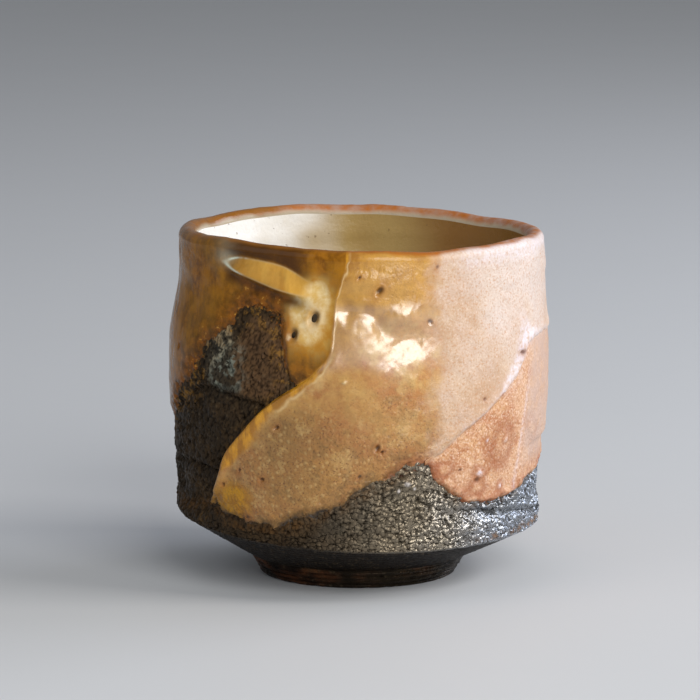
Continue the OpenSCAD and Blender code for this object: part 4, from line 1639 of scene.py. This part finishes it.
@dataclass
class ClayWall(Piece):
    """The faceted wall, bare and gritty where no glaze covers it."""

    # At the bare cut most rows lie below this height, and elsewhere below the band's top
    cut_top: float = 50.6
    band_top: float = 25.5
    groove_t: float = 0.6
    # Feldspar stones that stand out of the clay, the pale ones first; the pale ones' colour is partly a
    # painted highlight
    pale_stones: int = 3
    stones: tuple[Mark, ...] = (
        Mark(14.8, 20.7, 1.1, 0.5),
        Mark(12.2, 19.6, 0.7, 0.35),
        Mark(17.0, 19.9, 0.6, 0.3),
        Mark(-66.0, 26.0, 0.8, 0.35),
        Mark(-31.0, 44.0, 0.7, 0.3),
        Mark(66.0, 14.0, 0.8, 0.35),
        Mark(-112.0, 22.0, 0.9, 0.4),
    )

    def heights(self, angle: Array) -> Array:
        """Heights of the outer rows: even steps at the bare cut, and elsewhere most rows in the band of clay.

        Args:
            angle: Angles of the columns.

        Returns:
            Heights by row and column, from the seam to the lip.
        """
        even = self.split_rows(angle, self.cut_top, 108, 7, 1.1)
        crowded = self.split_rows(angle, self.band_top, 92, 23, 1.0)
        right_of_cut = ease((angle + 24.0) / 16.0) * ease((LAST_ANGLE - 3.0 - angle) / 24.0)
        return mix(even, crowded, right_of_cut)

    def split_rows(self, angle: Array, split: float, below: int, above: int, crowd: float) -> Array:
        """Heights of rows from the seam to the lip, so many up to a split and so many from it on.

        Args:
            angle: Angles of the columns.
            split: Height of the split.
            below: How many rows there are up to the split.
            above: How many there are from it on, with the split's own.
            crowd: Above 1, the lower steps are shorter at the start.

        Returns:
            Heights by row and column.
        """
        lower = np.linspace(0.0, 1.0, below)[:, None] ** crowd
        upper = np.linspace(0.0, 1.0, above)[1:, None]
        level = mix(self.form.seam_h, split, lower) + 0.0 * angle
        return np.concatenate([level, mix(split, self.form.lip_height(angle), upper)])

    def bare(self, angle: Array, height: Array) -> Array:
        """How bare the clay is: 1 outside the glazes, falling to 0 a little way in under their thin edges."""
        lines = self.form.lines
        low = lines.above(lines.low, angle, height)
        high = lines.above(lines.high, angle, height)
        across = lines.left_of_ridge(angle, height)
        under_glaze = np.minimum(low, -across)
        left_bare = ease(1.0 + np.minimum(across / 0.9, -high / 3.4))
        low_bare = ease(1.0 - low / mix(4.6, 2.0, ease((angle - 18.0) / 5.0))) * ease((angle + 60.0) / 4.0)
        return np.where(under_glaze > 4.0, 0.0, np.maximum(left_bare * ease((20.0 - angle) / 5.0), low_bare))

    def relief(self, angle: Array, height: Array) -> Array:
        """Torn clay, with a round hollow under each ledge of the cut and along the luted seam at the right.

        Args:
            angle: Angles of the places.
            height: Heights of the places.

        Returns:
            Outward moves in mm.
        """
        lines = self.form.lines
        places = around(angle, self.form.outside(angle, height), height)
        cut_side = ease((-14.0 - angle) / 6.0)
        grooves = np.zeros(np.broadcast(angle, height).shape)
        for ledge in (lines.upper_ledge, lines.lower_ledge):
            wander = lines.above(ledge, angle, height) + 0.35 * noise(places, 2.5, 53)
            grooves += bell((wander + 0.45) / 0.5) * (0.6 + 0.4 * noise(places, 5.0, 59))
        seam_line = mix(15.0, 12.0, np.clip((angle - 36.0) / 42.0, 0, 1))
        seam = bell((height - seam_line) / 0.5) * ease((angle - 24.0) / 14.0) * ease((100.0 - angle) / 14.0)
        stony = sum(stone.shape(angle, height) for stone in self.stones)
        return torn_clay(places) + stony - self.groove_t * (grooves * cut_side + seam)

    def shell(self) -> Shell:
        """Loop of rows: up the outside, over the crown, down the inside and back along the seam."""
        form = self.form
        angle = clay_columns()[None, :]
        lip = form.lip_height(angle)
        height = self.heights(angle)
        bare = self.bare(angle, height)
        relief = self.relief(angle, height)
        clay = form.outside(angle, height) + bare * relief - UNDER_GLAZE * (1.0 - bare)
        outer = around(angle, clay, height)
        turn = np.radians(np.linspace(20.0, 160.0, 5))[:, None]
        out_r, in_r = form.outside(angle, lip) - UNDER_GLAZE, form.inside(angle, lip) + 0.1
        crown_r = mix(in_r, out_r, 0.5 + 0.5 * np.cos(turn))
        crown = around(angle, crown_r, lip + (form.lip_round - 0.12) * np.sin(turn))
        # The inside ends on the fillet where it comes down to the seam
        fillet = np.linspace(WALL_SHARE, FILLET_SHARE, 81)
        fillet_h = form.bowl_profile(angle[:, :1], fillet[:, None])[1][:, 0]
        seam_share = float(np.interp(-form.seam_h, -fillet_h, fillet))
        down = np.concatenate([np.linspace(0.0, 0.57, 10), np.linspace(WALL_SHARE, seam_share, 5)])[:, None]
        bowl_r, bowl_h = form.bowl_profile(angle, down)
        inner = around(angle, bowl_r + 0.2, bowl_h)
        rows = np.concatenate([outer, crown, inner])
        hidden = np.zeros((len(crown) + len(inner), angle.shape[1]))
        seen = self.masks(angle, height, relief)
        return hoop_shell(rows, {name: np.concatenate([mask, hidden]) for name, mask in seen.items()})

    def masks(self, angle: Array, height: Array, relief: Array) -> Fields:
        """Masks from 0 to 1 that the clay's colours follow.

        Args:
            angle: Angles of the places.
            height: Heights of the places.
            relief: Relief of the clay there, in mm.

        Returns:
            One array per mask.
        """
        lines = self.form.lines
        places = around(angle, self.form.outside(angle, height), height)
        soft = noise(places, 5.0, 61, 2)
        high = lines.above(lines.high, angle, height)
        across = lines.left_of_ridge(angle, height)
        low = lines.above(lines.low, angle, height)
        cut_side = ease((-10.0 - angle) / 8.0)
        ash_spot = np.hypot((angle + 47.0) * ARC / 6.0, (height - 41.0) / 5.5)
        warm_spot = np.hypot((angle + 31.0) * ARC / 6.0, (height - 41.0) / 6.5)
        right = clay_gloss(angle)
        gold = np.clip(bell(high / 3.0) + 0.5 * bell(across / 1.2), 0, 1) * cut_side
        pale = self.stones[: self.pale_stones]
        return {
            "ash": np.clip(ease(1.3 - ash_spot + 0.4 * soft) * cut_side + 0.1 * right, 0, 1),
            "warm": np.clip(0.45 + 0.9 * ease(1.5 - warm_spot) * cut_side - 0.25 * right + 0.2 * soft, 0, 1),
            "cool": ease((angle - 12.0 + 6.0 * soft) / 42.0) * ease((222.0 - angle) / 50.0),
            "gold": gold * ease((angle + 128.0) / 20.0),
            "glassy": np.clip(0.04 + (0.96 + 0.2 * soft) * right, 0, 1),
            "rust": np.clip(0.8 * bell(low / 1.3) + 0.6 * ease((13.0 - height) / 2.0) * right, 0, 1) * 0.7,
            # Painted shade: the gaps between the grains and the deepest hollows
            "gap_shade": np.maximum(granules(places, GRAIN, GRAIN_SEED)[1], ease((-0.35 - relief) / 0.3)),
            # Pale stones, partly painted highlights
            "stone": np.maximum.reduce([bell(stone.distance(angle, height) / 0.55) for stone in pale]),
        }


@dataclass
class BaseSlab(Piece):
    """The slab that closes the cup below: band, corner, chamfer, and the trimmed face inside the foot."""

    corner_round: float = 0.4

    def shell(self) -> Shell:
        """Rows from the middle of the underside, out along the chamfer, up the band and in over the top."""
        form = self.form
        angle = clay_columns()[None, :]
        corner_z = form.corner_height(angle)
        ones = np.ones_like(angle)
        reach = np.linspace(0.02, 1.0, 30)[:, None]
        under_r, under_z = reach * form.foot_top_r * ones, form.foot_h * ones + 0.0 * reach
        slant = np.linspace(0.015, 0.98, 46)[:, None]
        chamfer_r = mix(form.foot_top_r, form.corner_r, slant) * ones
        chamfer_z = mix(form.foot_h, corner_z, slant)
        bend = np.radians(np.linspace(-50.0, 0.0, 8))[:, None]
        corner_r = form.corner_r - self.corner_round * (1.0 - np.cos(bend)) * ones
        corner_zs = corner_z + self.corner_round * (np.sin(bend) - np.sin(bend[0])) - 0.1
        rise = np.linspace(0.06, 1.0, 26)[:, None]
        band_r = mix(form.corner_r, form.seam_r, rise) * ones
        band_z = mix(corner_zs[-1:], form.seam_h, rise)
        inward = np.linspace(0.0, 1.0, 12, endpoint=False)[1:, None]
        top_r = mix(form.seam_r, 1.0, inward) * ones
        top_z = mix(form.seam_h - 0.3, form.floor_h - 0.2, ease(inward * 2.2)) * ones
        radius = np.concatenate([under_r, chamfer_r, corner_r, band_r, top_r])
        height = np.concatenate([under_z, chamfer_z, corner_zs, band_z, top_z])
        angles = np.broadcast_to(angle, radius.shape)
        places = around(angles, radius, height)
        grit = torn_clay(places)
        trimming = 0.1 * np.sin(2.0 * np.pi * (radius / 1.25 + np.radians(angles) / (2.0 * np.pi)))
        chatter = 0.05 * noise(places, 0.8, 79)
        band = ease((radius - 29.6) / 1.2)
        outer_face = ease((radius - form.foot_top_r - 0.3) / 0.8)
        top_row = len(radius) - len(top_r)
        seen = (np.arange(len(radius)) < top_row)[:, None]
        inside_foot = ease((form.foot_r - form.foot_land - 0.4 - radius) / 0.8)
        free = np.where(seen, np.maximum(outer_face, inside_foot), 0.0)
        relief = mix(trimming * 0.7 + chatter, grit, band) * free
        past_foot = radius > form.foot_top_r
        out = mix(0.42, 1.0, band) * np.where(past_foot, 1.0, 0.0)
        down = mix(0.9, 0.0, band) * np.where(past_foot, 1.0, -1.0)
        rows = around(angles, radius + relief * out, height - relief * down)
        right = clay_gloss(angles)
        soft = noise(places, 5.0, 83, 2)
        rust = 0.7 * band * ease((angles - 30.0) / 20.0) * bell((height - corner_z - 0.8) / 0.9)
        masks = {
            "ash": 0.1 * right * band,
            # Little warm brown on the chamfer and under the foot: painted shade on the faces that look down
            "warm": np.clip(0.45 + 0.2 * soft - 0.25 * right, 0, 1) * mix(0.15, 1.0, band),
            "cool": ease((angles - 12.0 + 6.0 * soft) / 42.0),
            "glassy": np.clip(0.04 + (0.96 + 0.2 * soft) * right, 0, 1) * band,
            "rust": np.clip(rust, 0, 1),
            # Painted shade in the trimming grooves and between the grains
            "gap_shade": mix(ease((0.0 - relief) / 0.25), granules(places, GRAIN, GRAIN_SEED)[1], band),
        }
        return capped_shell(rows, masks)


@dataclass
class FootRing(Piece):
    """The turned foot, with the lines of the trimming tool and a worn resting face."""

    columns: int = 360

    def section(self) -> tuple[Array, Array, Array]:
        """Outline of the ring: land, outer side, top and inner side, with small rounds at the land's edges.

        Returns:
            Radius, height and how freely the surface may be marked, along the outline.
        """
        form = self.form
        edge, inner = form.foot_edge, form.foot_r - form.foot_land
        sweep = np.radians(np.linspace(0.0, 90.0, 7))
        land = np.linspace(inner + edge, form.foot_r - edge, 16)
        rise = np.linspace(0.0, 1.0, 20)[1:]
        side_r = mix(form.foot_r, form.foot_top_r, rise)
        side_z = mix(edge, form.foot_h, rise)
        top_r = np.linspace(form.foot_top_r, inner - form.foot_in_lean, 8)[1:-1]
        fall = np.linspace(0.0, 1.0, 20)[:-1]
        hole_r = mix(inner - form.foot_in_lean, inner, fall)
        hole_z = mix(form.foot_h, edge, fall)
        radius = np.concatenate([
            land, form.foot_r - edge + edge * np.sin(sweep[1:]), side_r, top_r, hole_r,
            inner + edge - edge * np.cos(sweep[:-1]),
        ])  # fmt: skip
        height = np.concatenate([
            0.0 * land, edge - edge * np.cos(sweep[1:]), side_z, form.foot_h + 0.0 * top_r, hole_z,
            edge - edge * np.sin(sweep[:-1]),
        ])  # fmt: skip
        free = ease(height / 0.5) * ease((form.foot_h - height) / 0.4)
        return radius, height, free

    def shell(self) -> Shell:
        """The outline carried round the axis, moved by trimming lines and grit."""
        radius, height, free = (part[:, None] for part in self.section())
        angle = np.linspace(FIRST_ANGLE, LAST_ANGLE, self.columns, endpoint=False)[None, :]
        places = around(angle, radius, height)
        lines = 0.11 * np.sin(2.0 * np.pi * (height / 0.85 + angle / 360.0)) + 0.06 * np.sin(height * 19.0)
        rough = 0.1 * noise(places, 2.4, 91, 3) + 0.1 * (grit_domes(places, 1.0, 97) - 0.4)
        relief = free * (lines + rough)
        outward = np.where(radius > self.form.foot_r - 1.0, 1.0, -1.0)
        worn = 0.12 * np.clip(noise(places, 1.4, 101, 2), 0, 1) * (1.0 - ease(height / 0.3))
        rows = around(angle, radius + outward * relief, height + worn)
        soft = noise(places, 4.0, 103, 2)
        right = ease((angle + 40.0) / 70.0) * ease((150.0 - angle) / 40.0)
        masks = {
            "warm": np.clip(0.6 + 0.5 * soft, 0, 1),
            "glassy": np.clip(0.5 + 0.4 * soft, 0, 1) * right,
            "rust": np.clip(0.2 + 0.5 * soft, 0, 1),
            # Painted shade in the trimming grooves
            "gap_shade": ease((0.0 - relief) / 0.2),
        }
        return hoop_shell(rows, masks)


@dataclass
class Liner(Piece):
    """The pale glaze inside the cup, over faint throwing rings."""

    columns: int = 300
    thick: float = 0.4
    ring_pitch: float = 5.2
    ring_t: float = 0.09

    def shell(self) -> Shell:
        """Rows from the floor's middle up the bonded side to the lip, then down the face to the middle."""
        form = self.form
        angle = np.linspace(FIRST_ANGLE, LAST_ANGLE, self.columns, endpoint=False)[None, :]
        wall = np.linspace(0.0, WALL_SHARE, 100)
        fillet = np.linspace(WALL_SHARE, FILLET_SHARE, 30)[1:]
        floor = np.linspace(FILLET_SHARE, 0.995, 30)[1:]
        shares = np.concatenate([wall, fillet, floor])[:, None]
        radius, height = form.bowl_profile(angle, shares)
        share = np.broadcast_to(shares, radius.shape)
        steep = np.cos(form.fillet_turn(share))
        flat = np.sqrt(1.0 - steep * steep)
        spiral = np.sin(2.0 * np.pi * (height / self.ring_pitch + angle / 360.0))
        places = around(angle, radius, height)
        rings = self.ring_t * spiral * ease(share / 0.08) * ease((0.75 - share) / 0.1)
        waves = rings + 0.06 * noise(places, 6.0, 113, 2)
        full = mix(0.35, self.thick + waves, ease(share / 0.05))
        pool = ease((share - 0.72) / 0.2)
        full = full + 0.35 * pool
        face = around(angle, radius - full * steep, height + full * flat)
        bond = around(angle, radius + 0.05 * steep, height - 0.05 * flat)
        coarse = slice(None, None, -4)
        rows = np.concatenate([bond[coarse], face])
        soft = noise(places, 9.0, 139, 2)
        # Buff and brown towards the right: partly the glaze's own tone, partly painted shade on the side away
        # from the key light
        buff_and_shade = ease(0.5 + 0.6 * np.sin(np.radians(angle)) + 0.1 * soft)
        masks = {
            "pool": np.concatenate([pool[coarse], 0.75 * pool]),
            "buff_and_shade": np.concatenate([buff_and_shade[coarse], buff_and_shade]),
        }
        return capped_shell(rows, masks)


@dataclass
class LipBand(Piece):
    """The thin glaze over the crown of the lip."""

    layers: GlazeLayers = field(kw_only=True)
    columns: int = 720
    inner_t: float = 0.35

    def shell(self) -> Shell:
        """Half an ellipse over the crown, from the outer glaze to the liner, and back along the clay."""
        form = self.form
        angle = np.linspace(FIRST_ANGLE, LAST_ANGLE, self.columns, endpoint=False)[None, :]
        lip = form.lip_height(angle)
        out_r, in_r = form.outside(angle, lip), form.inside(angle, lip)
        turn = np.radians(np.linspace(0.0, 180.0, 27))[:, None]
        middle, half = (out_r + in_r) / 2.0, (out_r - in_r) / 2.0

        def arch(raised: Array | float) -> Array:
            """The crown's half ellipse, raised by a thickness."""
            radius = middle + (half + raised) * np.cos(turn)
            return around(angle, radius, lip + (form.lip_round + raised) * np.sin(turn))

        base = arch(0.0)
        waves = (0.06 * noise(base, 3.0, 127, 2) + 0.025 * noise(base, 0.9, 131)) * np.sin(turn)
        thick = mix(self.inner_t, self.layers.lip_t, 0.5 + 0.5 * np.cos(turn)) + waves
        face, bond = arch(thick), arch(-0.2)
        rows = np.concatenate([face, bond[::-3]])
        way = np.degrees(turn) + 12.0 * noise(base, 4.0, 137, 2)
        masks = self.layers.masks(np.broadcast_to(angle, way.shape), np.broadcast_to(lip, way.shape))
        masks["iron"] = ease((way - 35.0) / 35.0)
        masks["inner"] = ease((way - 140.0) / 40.0)
        return hoop_shell(rows, {name: np.concatenate([mask, mask[::-3]]) for name, mask in masks.items()})


class Panel(Enum):
    """The poured glazes on the outside, by the nodes that they stand for."""

    FRONT = "front_glaze"
    SHOULDER = "shoulder_glaze"
    SATIN = "satin_glaze"
    SIDE = "side_glaze"
    BACK = "back_glaze"


def even_path(path: Array, count: int, crowd: float = 1.0) -> Array:
    """Steps along a path by its length in mm.

    Args:
        path: Angle and height of many points along it.
        count: How many points to return.
        crowd: Above 1, steps are shorter at the start.

    Returns:
        Angle and height of the new points.
    """
    legs = np.hypot(np.diff(path[:, 0]) * ARC, np.diff(path[:, 1]))
    along = np.concatenate([[0.0], np.cumsum(legs)])
    wanted = np.linspace(0.0, 1.0, count) ** crowd * along[-1]
    return np.stack([np.interp(wanted, along, path[:, axis]) for axis in (0, 1)], axis=-1)


@dataclass
class GlazePanel(Piece):
    """One poured glaze: a thin sheet on the clay between four edges."""

    layers: GlazeLayers = field(kw_only=True)
    panel: Panel = field(kw_only=True)
    rows: int = 170
    columns: int = 190
    crowd: float = 1.0
    bond_t: float = 1.1
    # How far a frayed edge reaches beyond its line, sunk in the clay
    spare: float = 1.2

    def along_line(self, line: SmoothLine, start: float, end: float, shift: float) -> Array:
        """Path along a line round the wall, shifted up."""
        angle = np.linspace(start, end, 600)
        return np.stack([angle, line.at(angle) + shift], axis=-1)

    def along_lip(self, start: float, end: float) -> Array:
        """Path along the lip."""
        angle = np.linspace(start, end, 600)
        return np.stack([angle, self.form.lip_height(angle)], axis=-1)

    def along_ridge(self, bottom: float) -> Array:
        """Path up the ridge from a height to the lip."""
        ridge = self.form.lines.ridge
        top = self.form.lip_height(ridge.at(np.array(self.form.lip_z)))
        height = np.linspace(bottom, float(top), 600)
        return np.stack([ridge.at(height), height], axis=-1)

    def upright(self, angle: float, bottom: float, top: float) -> Array:
        """Path straight up the wall."""
        return np.array([[angle, bottom], [angle, top]])

    def edges(self) -> tuple[Array, Array, Array, Array]:
        """The panel's bottom, top, left and right edges as paths that share their corners."""
        lines, lip = self.form.lines, self.form.lip_height
        ridge_top = self.along_ridge(30.0)[-1, 0]
        if self.panel is Panel.FRONT:
            start, end = -55.0, 20.0
            bottom = self.along_line(lines.low, start, end, -self.spare)
            left = np.concatenate([bottom[:1], self.along_ridge(15.0)])
            return bottom, self.along_lip(ridge_top, end), left, self.upright(end, bottom[-1, 1], lip(end))
        if self.panel is Panel.SHOULDER:
            bottom = self.along_line(lines.high, FIRST_ANGLE, -20.6, -self.spare)
            right = np.concatenate([bottom[-1:], self.along_ridge(37.0)])
            left = self.upright(FIRST_ANGLE, bottom[0, 1], lip(FIRST_ANGLE))
            return bottom, self.along_lip(FIRST_ANGLE, ridge_top), left, right
        start, end = (120.0, LAST_ANGLE) if self.panel is Panel.BACK else (20.0, 120.0)
        if self.panel is Panel.SATIN:
            bottom = self.along_line(lines.rib, start, end, -0.6)
        else:
            bottom = self.along_line(lines.low, start, end, -self.spare)
        under_rib = self.along_line(lines.rib, start, end, 0.7)
        top = under_rib if self.panel is Panel.SIDE else self.along_lip(start, end)
        left = self.upright(start, bottom[0, 1], top[0, 1])
        return bottom, top, left, self.upright(end, bottom[-1, 1], top[-1, 1])

    def patch(self) -> tuple[Array, Array]:
        """Fills the four edges: bottom blended to top, plus left blended to right, less the corners' blend.

        Returns:
            Angle and height by row and column.
        """
        bottom, top, left, right = self.edges()
        low, high = even_path(bottom, self.columns, self.crowd), even_path(top, self.columns, self.crowd)
        west, east = even_path(left, self.rows), even_path(right, self.rows)
        u = np.linspace(0.0, 1.0, self.columns)[None, :, None] ** self.crowd
        v = np.linspace(0.0, 1.0, self.rows)[:, None, None]
        across = mix(low[None], high[None], v)
        along = mix(west[:, None], east[:, None], u)
        corners = mix(mix(low[0], low[-1], u), mix(high[0], high[-1], u), v)
        place = across + along - corners
        return place[..., 0], place[..., 1]

    def shell(self) -> Shell:
        """The sheet: its face stands on the clay by its thickness, and its back lies in the clay's skin."""
        angle, height = self.patch()
        thickness = {
            Panel.FRONT: self.layers.front,
            Panel.SHOULDER: self.layers.shoulder,
            Panel.SATIN: self.layers.satin,
            Panel.SIDE: self.layers.side,
            Panel.BACK: self.layers.back,
        }[self.panel]
        face = around(angle, self.layers.surface(angle, height, thickness(angle, height)), height)
        bond = around(angle, self.form.outside(angle, height) - self.bond_t, height)
        return sheet_shell(face, bond, self.layers.masks(angle, height))


@dataclass
class Studio:
    """Floor, lights and camera."""

    floor_reach: float = 3000.0
    camera_from: tuple[float, float, float] = (-1.4, -760.0, 159.0)
    camera_to: tuple[float, float, float] = (-1.4, 0.0, 38.5)
    lamps_to: tuple[float, float, float] = (0.0, 0.0, 32.0)
    sky_color: tuple[float, float, float, float] = (0.9, 0.93, 0.97, 1.0)
    sky_strength: float = 0.24
    focal_px: float = 4451.0
    image_px: float = 700.0
    sensor: float = 36.0

    def floor(self, shelf: EffectShelf) -> None:
        """Lays the floor: a flat grid at height 0."""
        side = np.linspace(-self.floor_reach, self.floor_reach, 9)
        x, y = np.meshgrid(side, side)
        index = np.arange(x.size).reshape(x.shape)
        points = np.stack([x, y, np.zeros_like(x)], axis=-1).reshape(-1, 3)
        made = mesh_object("studio_floor", Shell(points, grid_quads(index), np.empty((0, 3), int), {}))
        made.data.materials.append(FloorFinish("studio_floor").material(shelf))

    def aimed(self, thing: bpy.types.Object, start: tuple[float, ...], end: tuple[float, ...]) -> None:
        """Puts a lamp or camera in place, looking from start to end, both in mm."""
        offset = [(b - a) * MM for a, b in zip(start, end)]
        level = math.hypot(offset[0], offset[1])
        thing.location = [part * MM for part in start]
        tip = math.pi / 2.0 + math.atan2(offset[2], level)
        thing.rotation_euler = (tip, 0.0, math.atan2(-offset[0], offset[1]))
        bpy.context.scene.collection.objects.link(thing)

    def lamp(
        self, name: str, start: tuple[float, ...], size: float, watts: float, color: tuple[float, ...]
    ) -> None:
        """Hangs one soft square lamp aimed at the cup."""
        light = bpy.data.lights.new(name, "AREA")
        light.size, light.energy, light.color = size * MM, watts, color
        self.aimed(bpy.data.objects.new(name, light), start, self.lamps_to)

    def lights(self) -> None:
        """A soft key from the right, a softbox at the front, a cool rim light, a weak fill and a pale sky."""
        self.lamp("key", (930.0, -250.0, 680.0), 480.0, 6.2, (1.0, 0.97, 0.93))
        self.lamp("front", (330.0, -790.0, 440.0), 560.0, 6.0, (1.0, 0.99, 0.96))
        self.lamp("rim", (720.0, 330.0, 330.0), 560.0, 3.4, (0.82, 0.87, 1.0))
        self.lamp("fill", (-700.0, -420.0, 480.0), 700.0, 0.9, (0.93, 0.96, 1.0))
        world = bpy.data.worlds.new("studio")
        world.use_nodes = True
        sky = world.node_tree.nodes["Background"]
        sky.inputs["Color"].default_value = self.sky_color
        sky.inputs["Strength"].default_value = self.sky_strength
        bpy.context.scene.world = world

    def camera(self) -> None:
        """Sets the camera where the photograph was taken: the lens is the focal length in pixels, as film."""
        lens = bpy.data.cameras.new("camera")
        lens.sensor_width = self.sensor
        lens.lens = self.focal_px / self.image_px * self.sensor
        made = bpy.data.objects.new("camera", lens)
        self.aimed(made, self.camera_from, self.camera_to)
        bpy.context.scene.camera = made


def cup_pieces(form: CupForm) -> list[Piece]:
    """Lists the pieces of the cup in the order in which they are made.

    Args:
        form: The clay body.

    Returns:
        Clay first, then the glazes.
    """
    layers = GlazeLayers(form)
    dull_clay = BareClay("foot_clay", warm="2b1d14", silver="4e4e4a", bronze="3e382c")
    pieces: list[Piece] = [
        ClayWall(form, "clay_wall", "wall", "bare_clay", BareClay("bare_clay", rust="6b4a26")),
        BaseSlab(form, "base_slab_clay", "base_slab", "base_clay", BareClay("base_clay", rust="9c6a38")),
        FootRing(form, "foot_ring_clay", "foot_ring", "foot_clay", dull_clay),
        Liner(form, "inside_glaze", "liner_glaze", "liner_glaze", LinerGlaze("liner_glaze")),
        LipBand(form, "lip_band", "lip_glaze", "lip_glaze", LipGlaze("lip_glaze"), layers=layers),
    ]
    # Rows, columns and crowding to the left of each sheet, and how strongly its glaze shines
    sheets = {
        Panel.FRONT: (210, 210, 1.2, 0.35),
        Panel.SHOULDER: (110, 300, 1.0, 0.15),
        Panel.SATIN: (130, 220, 1.0, 0.5),
        Panel.SIDE: (90, 220, 1.0, 0.5),
        Panel.BACK: (130, 190, 1.0, 0.5),
    }
    for panel, (rows, columns, crowd, specular) in sheets.items():
        finish = AshGlaze(panel.value, specular=specular, coat_roughness=0.3, coat_ior=2.2)
        sheet = GlazePanel(
            form, f"{panel.value}_sheet", panel.value, panel.value, finish,
            layers=layers, panel=panel, rows=rows, columns=columns, crowd=crowd,
        )  # fmt: skip
        pieces.append(sheet)
    return pieces


def main() -> None:
    """Builds the cup piece by piece in its studio."""
    logging.basicConfig(level=logging.INFO, format="%(name)s: %(message)s")
    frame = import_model()
    LOG.info("The frame has %d nodes", len(frame["nodes"]))
    bpy.context.scene.view_settings.view_transform = "Standard"
    shelf = EffectShelf()
    studio = Studio()
    studio.camera()
    studio.lights()
    studio.floor(shelf)
    for piece in cup_pieces(CupForm.from_frame()):
        piece.make(shelf)


if __name__ == "__main__":
    main()
